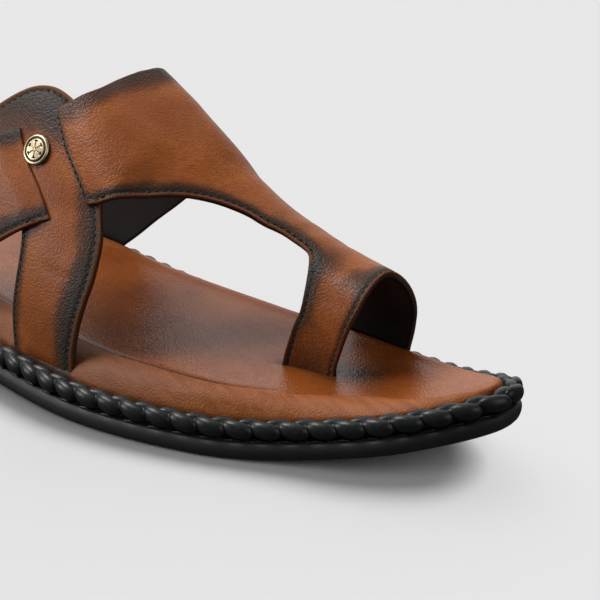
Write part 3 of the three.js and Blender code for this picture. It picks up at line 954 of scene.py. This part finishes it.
def thread_mesh(starts, ends, ups, radius, sink):
    """Short threads between pairs of points, as one mesh."""
    points, faces = [], []
    sides = 6
    for start, end, up in zip(starts, ends, ups):
        along = end - start
        length = np.linalg.norm(along)
        along = along / length
        side = unit(np.cross(along, up))
        middle = (start + end) / 2
        first = len(points)
        rows = capsule_rows(length, radius)
        for place, r in rows:
            dip = sink * (2 * abs(place) / length) ** 2
            for j in range(sides):
                angle = 2 * math.pi * j / sides
                lift = r * math.sin(angle) - dip
                points.append(middle + along * place + side * r * math.cos(angle) + up * lift)
        faces += grid_faces(len(rows), sides, closed_columns=True, start=first, flip=True)
        last = first + (len(rows) - 1) * sides
        faces += [tuple(range(first, first + sides)), tuple(range(last, last + sides))[::-1]]
    return np.array(points), faces


def make_strap_stitches(name, patterns, sizes, material):
    leather, pitch = sizes.leather / MM, sizes.stitch_pitch / MM
    starts, ends, ups = [], [], []
    for pattern in patterns:
        for facts, _ in pattern.free_lines(leather):
            if "margin" not in facts:
                continue
            line = facts["line"]
            along = np.gradient(line, axis=0)
            along_x, along_turn = last_slopes(line[:, 0], line[:, 1])
            normal = unit(np.cross(along_x, along_turn))
            way = unit(along_x * along[:, :1] + along_turn * along[:, 1:])
            places = bend(line[:, 0], line[:, 1], pattern.height(line, leather))
            probe = np.cross(normal, way)
            sign = 1 if pattern_side(pattern, line, probe) else -1
            seam = places + probe * sign * facts["margin"]
            seam = seam + normal * (0.02 - sizes.stitch_depth / MM * 0.75)
            both = spaced(np.hstack([seam, normal]), seam, pitch)
            for a, b in zip(both[1:-2], both[2:-1]):
                starts.append(a[:3] * 0.86 + b[:3] * 0.14)
                ends.append(a[:3] * 0.14 + b[:3] * 0.86)
                ups.append(a[3:])
    points, faces = thread_mesh(starts, ends, ups, sizes.thread / MM / 2, 0.25)
    return new_piece(name, points, faces, "upper", [material])


def pattern_side(pattern, line, probe):
    """Whether a probe from an edge points into its pattern."""
    k = len(line) // 2
    along_x, along_turn = last_slopes(line[k:k + 1, 0], line[k:k + 1, 1])
    step = np.array([[probe[k] @ way[0] / (way[0] @ way[0]) for way in (along_x, along_turn)]])
    return bool(pattern.inside(line[k:k + 1] + step)[0])


def panel_lift(x, turn):
    return (1 - smooth(x, *PANEL_OVERLAP["x"])) * (1 - smooth(turn, *PANEL_OVERLAP["turn"]))


def no_lift(x, turn):
    return np.zeros_like(x)


def strap_lift(x, turn):
    return smooth(x, *STRAP_OVERLAP)


# The footbed.

# Painted shade on the footbed's top: round the ring's near foot, inside the ring, in front of it, and under the
# side panel's straps.
FOOTBED_SHADE = [
    # x, y, reach along, reach across, strength
    (89, 1, 10, 7, 1.0),
    (84, 16, 16, 14, 0.6),
    (106, 0, 12, 16, 0.3),
    (0, 2, 20, 17, 0.45),
]


def make_footbed(material):
    """A padded cover with a sloping side, a rolled shoulder, a dished top and pockets for the straps."""
    inset, top_z = shoulder()
    loops = [loop_at(np.full(len(RIM), FOOTBED_INSET), SOLE_THICKNESS + LEDGE_GAP)]
    loops.append(loop_at(np.full(len(RIM), FOOTBED_INSET), FOOTBED_WALL_TOP - 1.2))
    for across, up in SIDE_CURVE:
        share = FOOTBED_INSET + (inset - FOOTBED_INSET) * across
        loops.append(loop_at(share, FOOTBED_WALL_TOP + (top_z - FOOTBED_WALL_TOP) * up))
    rim_points = np.vstack(loops)
    near = np.array([0.5, 1.0, 1.5, 2.0, 2.5, 3.1, 4.0, 5.4])
    middle = np.linspace(0, 1, 26)[1:-1]

    def shares(width):
        reach = min(1.0, 0.3 * width / near[-1])
        edge = near * reach / max(width, 1e-6)
        inner = edge[-1] + (1 - 2 * edge[-1]) * middle
        return np.concatenate([edge, inner, 1 - edge[::-1]])

    def dish(points, v, outer, inner):
        return outer * (1 - v) + inner * v - FOOTBED_DISH * np.sin(np.pi * v)

    def flat_base(points, v, outer, inner):
        return SOLE_THICKNESS + LEDGE_GAP + spring(points[:, 0])

    top_rows = across_rows(loops[-1], shares, dish)
    columns = len(top_rows[0])
    top = np.vstack(top_rows)
    base_rows = across_rows(loops[0], lambda width: np.array([0.33, 0.66]), flat_base)
    base = np.vstack(base_rows)
    count = len(RIM)
    faces = grid_faces(len(loops), count, closed_columns=True)
    faces += cover_faces((len(loops) - 1) * count, count, columns, len(rim_points), False)
    faces += cover_faces(0, count, 2, len(rim_points) + len(top), True)
    points = np.vstack([rim_points, top, base])
    ridge = loops[-1]
    outer_side = points[:, 1] < np.interp(points[:, 0], [-144, 0, 60, 150], [0, 4, 6, 16])
    fade = (1 - smooth(points[:, 0], 60, 112)) * outer_side
    line = distance_to(points[:, :2], ridge[:, :2], closed=True)
    on_top = np.zeros(len(points), dtype=bool)
    on_top[len(rim_points):len(rim_points) + len(top)] = True
    on_top[(len(loops) - 1) * count:len(loops) * count] = True
    inward = np.where(on_top, line, -line)
    groove = np.exp(-((inward - 2.1) / 0.8) ** 2) * 0.45 * fade
    puff = np.exp(-((inward - 0.2) / 1.1) ** 2) * 0.3 * fade
    far_puff = np.exp(-((inward - 0.6) / 2) ** 2) * 0.55
    puff += far_puff * (1 - smooth(points[:, 0], 100, 124)) * (1 - outer_side)
    pad = 0.25 * waviness(points, 60, 21) * smooth(inward, 2, 12)
    pad += 0.1 * waviness(points, 17, 8) * smooth(inward, 1, 5)
    points[:, 2] += np.where(on_top, pad - groove, 0) + puff
    feet = strap_feet()
    slot = np.full(len(points), 99.0)
    for foot in feet:
        slot = np.minimum(slot, distance_to(points[:, :2], foot[:, :2]))
    points[:, 2] -= np.where(points[:, 2] > FOOTBED_WALL_TOP, 0.5 * np.exp(-(slot / 1.8) ** 2), 0)
    # Painted shade: where the ring and the straps shade the footbed's top, from FOOTBED_SHADE.
    shade = sum(
        strength * np.exp(-((points[:, 0] - x) / along) ** 2 - ((points[:, 1] - y) / across) ** 2)
        for x, y, along, across, strength in FOOTBED_SHADE)
    side = (1 - smooth(inward, 0.4, 1.8)) * outer_side
    # Painted shade down the outer side towards the heel, where the side panel shades it.
    painted_side_shade = 0.5 * (1 - smooth(points[:, 0], 30, 80)) * side
    marks = {
        "side": side,
        "line": np.abs(inward - 2.1) + (1 - fade) * 3,
        "slot": slot,
        "shade": np.clip(np.where(on_top, shade, 0) + painted_side_shade, 0, 1),
    }
    piece = new_piece("footbed_padded_cover", points, faces, "footbed", [material], None, marks)
    return piece


STRAP_FEET = [
    # from x, to x, turn
    (68.2, 86.4, 0),
    (-12.5, 17.3, 0),
    (-94, -54, 0),
    (66, 93.5, 100),
    (-88, -46, 100),
]


def strap_feet():
    """Where the straps go into the footbed, as lines from above."""
    feet = []
    for low, high, turn in STRAP_FEET:
        x = np.arange(low, high, 1.0)
        feet.append(last_point(x, np.full(len(x), float(turn))))
    return feet


# The rope round the edge.

def rope_path(steps):
    """Even places round the rope's middle, each with its direction along, outward and up."""
    path = loop_at(np.full(len(RIM), ROPE_INSET), ROPE_Z)
    closed = np.vstack([path, path[:1]])
    run = np.concatenate([[0], np.cumsum(np.linalg.norm(np.diff(closed, axis=0), axis=1))])
    at = np.arange(steps) / steps * run[-1]
    centres = np.stack([np.interp(at, run, closed[:, k]) for k in range(3)], axis=-1)
    for _ in range(3):
        centres = (np.roll(centres, 1, axis=0) + 2 * centres + np.roll(centres, -1, axis=0)) / 4
    along = unit(np.roll(centres, -1, axis=0) - np.roll(centres, 1, axis=0))
    out = unit(np.stack([along[:, 1], -along[:, 0], np.zeros(steps)], axis=-1))
    return centres, along, out, np.cross(out, along)


def make_rope(sizes, material):
    """A plait: an outer and an inner row of plump slanting lumps over a core, round the sole's edge."""
    lumps, per_lump, rings, sides = sizes.rope_lumps, 12, 13, 16
    centres, along, out, up = rope_path(lumps * per_lump)
    reach = sizes.rope_radius / MM
    half = sizes.lump_length / MM / 2
    slant, lean = math.radians(9), math.radians(7)
    points, faces, painted_rope_shade = [], [], []
    way = np.linspace(-1, 1, rings)
    size = np.sqrt(np.maximum(0, 1 - np.abs(way) ** 2.3))
    size[[0, -1]] = 0.12
    angle = np.linspace(0, 2 * np.pi, sides, endpoint=False)
    first = 0
    for side in (1, -1):
        for i in range(lumps):
            at = i * per_lump + (per_lump // 2 if side < 0 else 0)
            middle = centres[at] + out[at] * side * 1.15
            flat_way = along[at] * math.cos(lean) + out[at] * side * math.sin(lean)
            length_way = flat_way * math.cos(slant) - up[at] * math.sin(slant)
            thick_way = unit(out[at] * side - length_way * (out[at] * side @ length_way))
            high_way = np.cross(length_way, thick_way)
            bow = out[at] * side * (0.02 * (way * half) ** 2)[:, None]
            spine = middle + length_way * (way * half)[:, None] - bow
            tall, thick = size * (reach - 0.25), size * (reach - 1.15)
            ring = (spine[:, None, :] + thick_way * (thick[:, None] * np.cos(angle))[..., None]
                    + high_way * (tall[:, None] * np.sin(angle))[..., None])
            points.append(ring.reshape(-1, 3))
            last = first + (rings - 1) * sides
            faces += grid_faces(rings, sides, closed_columns=True, start=first)
            faces += [tuple(range(first, first + sides))[::-1], tuple(range(last, last + sides))]
            # Painted shade on the lump's tucked end; the core below gets it in full.
            painted_rope_shade.append(np.repeat(smooth(-way, 0.35, 0.9), sides))
            first += rings * sides
    core_sides = 10
    turn = np.linspace(0, 2 * np.pi, core_sides, endpoint=False)
    core = centres[::3, None, :] + (out[::3, None, :] * np.cos(turn)[None, :, None]
                                    + up[::3, None, :] * np.sin(turn)[None, :, None]) * (reach - 1.15)
    points.append(core.reshape(-1, 3))
    faces += grid_faces(
        len(core), core_sides, closed_rows=True, closed_columns=True, start=first, flip=True)
    painted_rope_shade.append(np.ones(len(core) * core_sides))
    return new_piece("plaited_rope_rand", np.vstack(points), faces, "rope_rand", [material], None,
                     {"painted_rope_shade": np.concatenate(painted_rope_shade)})


# The outsole.

SOLE_SIDE = [
    # inset from the outline, z
    (3.2, 0.0), (2.2, 0.15), (1.5, 0.75), (1.05, 1.6), (0.8, 2.6), (0.7, 3.6), (0.75, 4.5),
    (1.0, 5.2), (1.5, 5.9), (2.2, 6.3), (2.9, 6.45), (3.6, 6.4), (4.4, 6.75), (6.2, 6.9),
]


def make_outsole(sizes, material):
    """Black rubber with a rounded lip, a channel under the rope and a ribbed tread."""
    path = loop_at(np.full(len(RIM), ROPE_INSET), ROPE_Z)
    run = np.cumsum(np.linalg.norm(path - np.roll(path, 1, axis=0), axis=1))
    scallop = np.abs(np.cos(np.pi * run / run[-1] * sizes.rope_lumps)) ** 3
    loops = []
    for row, (inset, z) in enumerate(SOLE_SIDE):
        loop = loop_at(np.full(len(RIM), inset), z)
        if z < 1.2:
            loop[:, 2] += arch_rise(loop[:, 0], loop[:, 1]) * (1 - z / 1.6)
        if row > 2:
            loop[:, 2] += 0.06 * waviness(loop, 14, 31)
        lip = math.exp(-((z - 6.2) / 0.5) ** 2) * (inset < 3)
        loop[:, 2] -= 0.35 * lip * scallop
        loops.append(loop)
    rim_points = np.vstack(loops)
    across = np.linspace(0, 1, 66)[1:-1]

    def tread(points, v, outer, inner):
        x, y = points[:, 0], points[:, 1]
        edge = np.minimum(v, 1 - v) * np.linalg.norm(points[-1] - points[0])
        wave = 1.6 * np.sin(y / 5.2)
        groove = smooth(np.cos((x + wave) * 2 * np.pi / 9), 0.45, 0.8)
        pads = smooth(x, 6, 14) + (1 - smooth(x, -70, -62))
        cut = sizes.tread_depth / MM * groove * pads * smooth(edge, 5, 7.5)
        return spring(x) + arch_rise(x, y) + cut

    bottom = np.vstack(across_rows(loops[0], lambda width: across, tread))
    ledge = np.vstack(across_rows(loops[-1], lambda width: np.array([0.33, 0.66]),
                                  lambda p, v, a, b: SOLE_THICKNESS + spring(p[:, 0])))
    count = len(RIM)
    faces = grid_faces(len(loops), count, closed_columns=True)
    faces += cover_faces(0, count, len(across), len(rim_points), True)
    faces += cover_faces((len(loops) - 1) * count, count, 2, len(rim_points) + len(bottom), False)
    points = np.vstack([rim_points, bottom, ledge])
    return new_piece("ribbed_rubber_outsole", points, faces, "outsole", [material])


def make_sole_stitches(sizes, material):
    """The heavy thread that shows in the channel under the rope."""
    pitch = sizes.sole_stitch / MM
    line = loop_at(np.full(len(RIM), 2.0), 6.55)
    line = np.vstack([line, line[:1]])
    line = spaced(line, line, pitch)
    starts = line[:-1] * 0.8 + line[1:] * 0.2
    ends = line[:-1] * 0.2 + line[1:] * 0.8
    ups = [np.array([0, 0, 1.0])] * len(starts)
    points, faces = thread_mesh(starts, ends, ups, 0.42, 0.3)
    return new_piece("sole_thread", points, faces, "rope_rand", [material])


# The stud.

def make_stud(sizes, material):
    """A round stud with a thin raised rim, a sunk ring and a plain six-petalled rosette."""
    radius = sizes.stud_radius / MM
    rings, sides, petals = 44, 120, 6
    shares = np.linspace(0, 1, rings)[1:]
    angle = np.arange(sides) / sides * 2 * np.pi
    aside = np.abs((angle * petals / (2 * np.pi) + 0.5) % 1 - 0.5) * 2 * np.pi / petals
    points, proud = [np.array([[0, 0, 1.75]])], [np.array([1.0])]
    for share in shares:
        r = share * radius
        parting = aside * r
        petal = smooth(parting, 0.06, 0.2) * (1 - smooth(share, 0.5, 0.54) * (1 - smooth(parting, 0.4, 0.75)))
        petal = np.maximum(petal * (1 - smooth(share, 0.7, 0.73)), 1 - smooth(share, 0.06, 0.12))
        wall = smooth(share, 0.6, 0.63) * (1 - smooth(share, 0.7, 0.73))
        rim_height = smooth(share, 0.84, 0.87) * (1 - smooth(share, 0.97, 1.0))
        beads = 0.35 * smooth(share, 0.74, 0.77) * (1 - smooth(share, 0.8, 0.84))
        beads = beads * (0.5 + 0.5 * np.cos(angle * 30))
        raised = np.clip(np.maximum(petal, wall) + rim_height + beads, 0, 1)
        dome = 1.35 - 0.45 * share ** 2
        edge_drop = 0.75 * smooth(share, 0.97, 1.0)
        height = dome + 0.4 * raised - edge_drop
        points.append(np.stack([r * np.cos(angle), r * np.sin(angle), height], axis=-1))
        proud.append(np.clip(raised, 0, 1))
    for r, z in ((radius, LEDGE_GAP + 0.15), (radius - 0.3, LEDGE_GAP), (1.3, LEDGE_GAP), (1.3, -1.6)):
        points.append(np.stack([r * np.cos(angle), r * np.sin(angle), np.full(sides, z)], axis=-1))
        proud.append(np.full(sides, 0.3))
    faces = [(0, 1 + j, 1 + (j + 1) % sides) for j in range(sides)]
    faces += grid_faces(len(points) - 1, sides, closed_columns=True, start=1, flip=True)
    faces.append(tuple(range(1 + (len(points) - 2) * sides, 1 + (len(points) - 1) * sides))[::-1])
    flat = np.vstack(points)
    x, turn = np.array([STUD["x"]]), np.array([float(STUD["turn"])])
    along_x, along_turn = last_slopes(x, turn)
    up = unit(np.cross(along_x, along_turn))[0]
    first = unit(along_x[0] - up * (along_x[0] @ up))
    second = np.cross(up, first)
    turned = last_point(x, turn)[0] + flat[:, :1] * first + flat[:, 1:2] * second + flat[:, 2:] * up
    marks = {"proud": np.concatenate(proud)}
    return new_piece("rosette_stud", turned, faces, "stud", [material], None, marks)


# What a user may change.

def length(name, description, default):
    return bpy.props.FloatProperty(
        name=name, description=description, default=default, unit="LENGTH", precision=4)


def tint(name, description, default):
    return bpy.props.FloatVectorProperty(
        name=name, description=description, default=default, subtype="COLOR", min=0.0, max=1.0)


class SandalSizes(bpy.types.PropertyGroup):
    """Sizes of the sandal's fine parts."""

    leather: length("Strap thickness", "Leather and lining together", 0.0024)
    stitch_pitch: length("Stitch pitch", "From one strap stitch to the next", 0.0025)
    stitch_depth: length("Stitch groove", "How deep the strap stitches pull in", 0.0003)
    thread: length("Strap thread", "Diameter of the strap thread", 0.00055)
    sole_stitch: length("Sole stitch pitch", "From one sole stitch to the next", 0.0088)
    rope_radius: length("Rope radius", "From the rope's middle to its outside", 0.00315)
    lump_length: length("Lump length", "Length of one of the plait's lumps", 0.0112)
    rope_lumps: bpy.props.IntProperty(
        name="Rope lumps", description="Lumps in each row of the plait", default=72)
    tread_depth: length("Tread depth", "Depth of the grooves under the sole", 0.0009)
    stud_radius: length("Stud radius", "Radius of the stud's head", 0.005)


class SandalColours(bpy.types.PropertyGroup):
    """Colours of the sandal's finishes."""

    tan_light: tint("Tan, light", "Strap leather where it is palest", (0.41, 0.117, 0.022))
    tan_deep: tint("Tan, deep", "Strap leather where it is deepest", (0.28, 0.07, 0.012))
    dye_warm: tint("Dye, warm", "Where the dark dye fades out", (0.11, 0.032, 0.009))
    # The dark dye, also used as painted shade round the strap slots in the footbed.
    dye_dark_and_slot_shade: tint("Dye, dark", "The dark dye at the edges", (0.034, 0.023, 0.016))
    raw_edge: tint("Cut edge", "The cut edge of the strap leather", (0.17, 0.058, 0.021))
    lining: tint("Lining", "Inside of the straps", (0.004, 0.004, 0.0045))
    thread: tint("Thread", "Strap thread", (0.009, 0.006, 0.005))
    footbed_top: tint("Footbed top", "Footbed leather", (0.27, 0.066, 0.01))
    footbed_deep: tint("Footbed top, deep", "Footbed leather where it is deepest", (0.19, 0.043, 0.006))
    # The side's two colours are a lit copy of the top's leather: painted light.
    footbed_side: tint("Footbed side", "The footbed's sloping side", (0.33, 0.1, 0.022))
    footbed_side_deep: tint("Footbed side, deep", "The sloping side where it is deepest", (0.25, 0.066, 0.01))
    # Painted shade on the footbed, and also the colour of the dark line above the shoulder.
    footbed_shade: tint("Footbed shade", "The darkest dye of the footbed", (0.045, 0.012, 0.005))
    rope: tint("Rope", "The twisted rope", (0.016, 0.018, 0.017))
    rubber: tint("Rubber", "The outsole", (0.036, 0.036, 0.036))
    brass: tint("Brass", "The stud where it is worn bright", (0.85, 0.68, 0.45))
    brass_dark: tint("Brass, dark", "The stud's recesses", (0.03, 0.026, 0.018))
    floor: tint("Floor", "The pale floor", (0.72, 0.72, 0.72))


# One operator for each piece.

class SANDAL_OT_outsole(bpy.types.Operator):
    """Make the rubber outsole and the thread in its channel"""
    bl_idname = "sandal.outsole"
    bl_label = "Outsole"

    def execute(self, context):
        scene = context.scene
        make_outsole(scene.sandal_sizes, sole_rubber(scene.sandal_colours))
        make_sole_stitches(scene.sandal_sizes, bpy.data.materials["dark_waxed_rope"])
        return {"FINISHED"}


class SANDAL_OT_rope(bpy.types.Operator):
    """Make the twisted rope round the edge"""
    bl_idname = "sandal.rope"
    bl_label = "Rope"

    def execute(self, context):
        scene = context.scene
        make_rope(scene.sandal_sizes, rope_cord(scene.sandal_colours))
        return {"FINISHED"}


class SANDAL_OT_footbed(bpy.types.Operator):
    """Make the padded footbed"""
    bl_idname = "sandal.footbed"
    bl_label = "Footbed"

    def execute(self, context):
        scene = context.scene
        make_footbed(footbed_leather(scene.sandal_colours))
        return {"FINISHED"}


class SANDAL_OT_straps(bpy.types.Operator):
    """Make the straps with their linings, cut edges and stitches"""
    bl_idname = "sandal.straps"
    bl_label = "Straps"

    def execute(self, context):
        scene = context.scene
        sizes, colours = scene.sandal_sizes, scene.sandal_colours
        materials = [strap_leather(colours), lining_leather(colours), edge_leather(colours)]
        panel = Pattern(PANEL, panel_lift)
        side = Pattern(SIDE_PANEL, no_lift)
        rear = Pattern(REAR_STRAP, strap_lift)
        make_strap("instep_panel", panel, PANEL_CREASES, PANEL_DYE_AND_SHADE, sizes, materials)
        make_strap("side_panel", side, SIDE_CREASES, SIDE_DYE_AND_SHADE, sizes, materials)
        make_strap("rear_strap", rear, STRAP_CREASES, STRAP_DYE, sizes, materials)
        make_strap_stitches("strap_stitches", [panel, side, rear], sizes, thread(colours))
        return {"FINISHED"}


class SANDAL_OT_stud(bpy.types.Operator):
    """Make the brass stud"""
    bl_idname = "sandal.stud"
    bl_label = "Stud"

    def execute(self, context):
        scene = context.scene
        make_stud(scene.sandal_sizes, stud_brass(scene.sandal_colours))
        return {"FINISHED"}


class SANDAL_OT_stage(bpy.types.Operator):
    """Make the floor, the lights and the camera"""
    bl_idname = "sandal.stage"
    bl_label = "Stage"

    def execute(self, context):
        scene = context.scene
        mesh = bpy.data.meshes.new("floor")
        mesh.from_pydata([(-6, -6, 0), (6, -6, 0), (6, 6, 0), (-6, 6, 0)], [], [(0, 1, 2, 3)])
        mesh.materials.append(floor_paper(scene.sandal_colours))
        floor = bpy.data.objects.new("floor", mesh)
        scene.collection.objects.link(floor)
        floor.visible_diffuse = floor.visible_glossy = False
        make_camera(scene)
        make_lights(scene)
        return {"FINISHED"}


def direction(azimuth, elevation):
    """The way from the target to a place at an azimuth and elevation round it."""
    a, e = math.radians(azimuth), math.radians(elevation)
    return Vector((math.sin(a) * math.cos(e), -math.cos(a) * math.cos(e), math.sin(e)))


def make_camera(scene):
    data = bpy.data.cameras.new("photo_camera")
    data.lens, data.sensor_width = CAMERA["lens"], 36
    data.clip_start, data.clip_end = 0.01, 50
    camera = bpy.data.objects.new("photo_camera", data)
    scene.collection.objects.link(camera)
    back = direction(CAMERA["azimuth"], CAMERA["elevation"])
    camera.location = (Vector(CAMERA["target"]) + back * CAMERA["distance"]) * MM
    camera.rotation_mode = "QUATERNION"
    camera.rotation_quaternion = (-back).to_track_quat("-Z", "Y")
    scene.camera = camera


SUNS = [
    # name, azimuth, elevation, spread degrees, strength, what it lights, seen in reflections
    ("window_low", -50, 6, 14, 0.7, "sandal", True),
    ("window_high", -54, 50, 26, 2.0, "sandal", True),
    ("soft_overhead", 240, 75, 60, 1.2, "sandal", False),
    ("fill_from_the_toe", 90, 18, 44, 0.5, "sandal", True),
    ("floor_key", 151, 48, 30, 2.57, "floor", False),
    ("floor_fill", 89, 39, 47, 1.2, "floor", False),
]
SKY = {"dark": 0.035, "bright": 0.95, "away": (-0.6, 0.6, 0.53), "from": 0.5, "to": 0.94}

# What shades the floor: the photo's floor shows the sole's shadow alone.
SHADES_FLOOR = ("ribbed_rubber_outsole", "sole_thread", "plaited_rope_rand", "footbed_padded_cover")


def make_lights(scene):
    """Soft suns and a studio that is dark behind the camera and pale behind the sandal."""
    lit = {group: bpy.data.collections.new("lights_for_the_" + group) for group in ("sandal", "floor")}
    for piece in scene.objects:
        if piece.type == "MESH":
            lit["floor" if piece.name == "floor" else "sandal"].objects.link(piece)
    shades = bpy.data.collections.new("shades_the_floor")
    for name in SHADES_FLOOR:
        shades.objects.link(bpy.data.objects[name])
    for name, azimuth, elevation, spread, strength, lights, reflected in SUNS:
        data = bpy.data.lights.new(name, "SUN")
        data.energy, data.angle = strength, math.radians(spread)
        light = bpy.data.objects.new(name, data)
        scene.collection.objects.link(light)
        light.rotation_mode = "QUATERNION"
        light.rotation_quaternion = direction(azimuth, elevation).to_track_quat("Z", "Y")
        light.visible_glossy = reflected
        light.light_linking.receiver_collection = lit[lights]
        if lights == "floor":
            light.light_linking.blocker_collection = shades
    world = bpy.data.worlds.new("pale_studio")
    scene.world = world
    world.use_nodes = True
    world.node_tree.nodes.clear()
    sky = Nodes(world.node_tree)
    ray = sky.node("ShaderNodeTexCoord", output="Generated")
    turned = sky.node(
        "ShaderNodeVectorMath", {"operation": "DOT_PRODUCT"}, {0: ray, 1: SKY["away"]}, "Value")
    strength = sky.step(turned, SKY["from"], SKY["to"], SKY["dark"], SKY["bright"])
    shade = sky.node("ShaderNodeBackground", {}, {"Color": (1, 1, 1, 1), "Strength": strength})
    output = world.node_tree.nodes.new("ShaderNodeOutputWorld")
    world.node_tree.links.new(shade.link, output.inputs["Surface"])
    scene.view_settings.view_transform = "Standard"
    scene.view_settings.look = "None"


PIECES = (
    SANDAL_OT_rope, SANDAL_OT_outsole, SANDAL_OT_footbed,
    SANDAL_OT_straps, SANDAL_OT_stud, SANDAL_OT_stage,
)


class SANDAL_PT_maker(bpy.types.Panel):
    """Sizes, colours and pieces of the sandal"""
    bl_idname = "SANDAL_PT_maker"
    bl_label = "Kolhapuri sandal"
    bl_space_type = "VIEW_3D"
    bl_region_type = "UI"
    bl_category = "Sandal"

    def draw(self, context):
        for operator in PIECES:
            self.layout.operator(operator.bl_idname)
        for group in (context.scene.sandal_sizes, context.scene.sandal_colours):
            box = self.layout.box()
            for key in group.bl_rna.properties.keys():
                if key not in {"rna_type", "name"}:
                    box.prop(group, key)


CLASSES = (SandalSizes, SandalColours, *PIECES, SANDAL_PT_maker)


def register():
    for made in CLASSES:
        bpy.utils.register_class(made)
    bpy.types.Scene.sandal_sizes = bpy.props.PointerProperty(type=SandalSizes)
    bpy.types.Scene.sandal_colours = bpy.props.PointerProperty(type=SandalColours)


def unregister():
    del bpy.types.Scene.sandal_colours
    del bpy.types.Scene.sandal_sizes
    for made in reversed(CLASSES):
        bpy.utils.unregister_class(made)


def main():
    register()
    bpy.ops.sandal.rope()
    bpy.ops.sandal.outsole()
    bpy.ops.sandal.footbed()
    bpy.ops.sandal.straps()
    bpy.ops.sandal.stud()
    bpy.ops.sandal.stage()


if __name__ == "__main__":
    main()
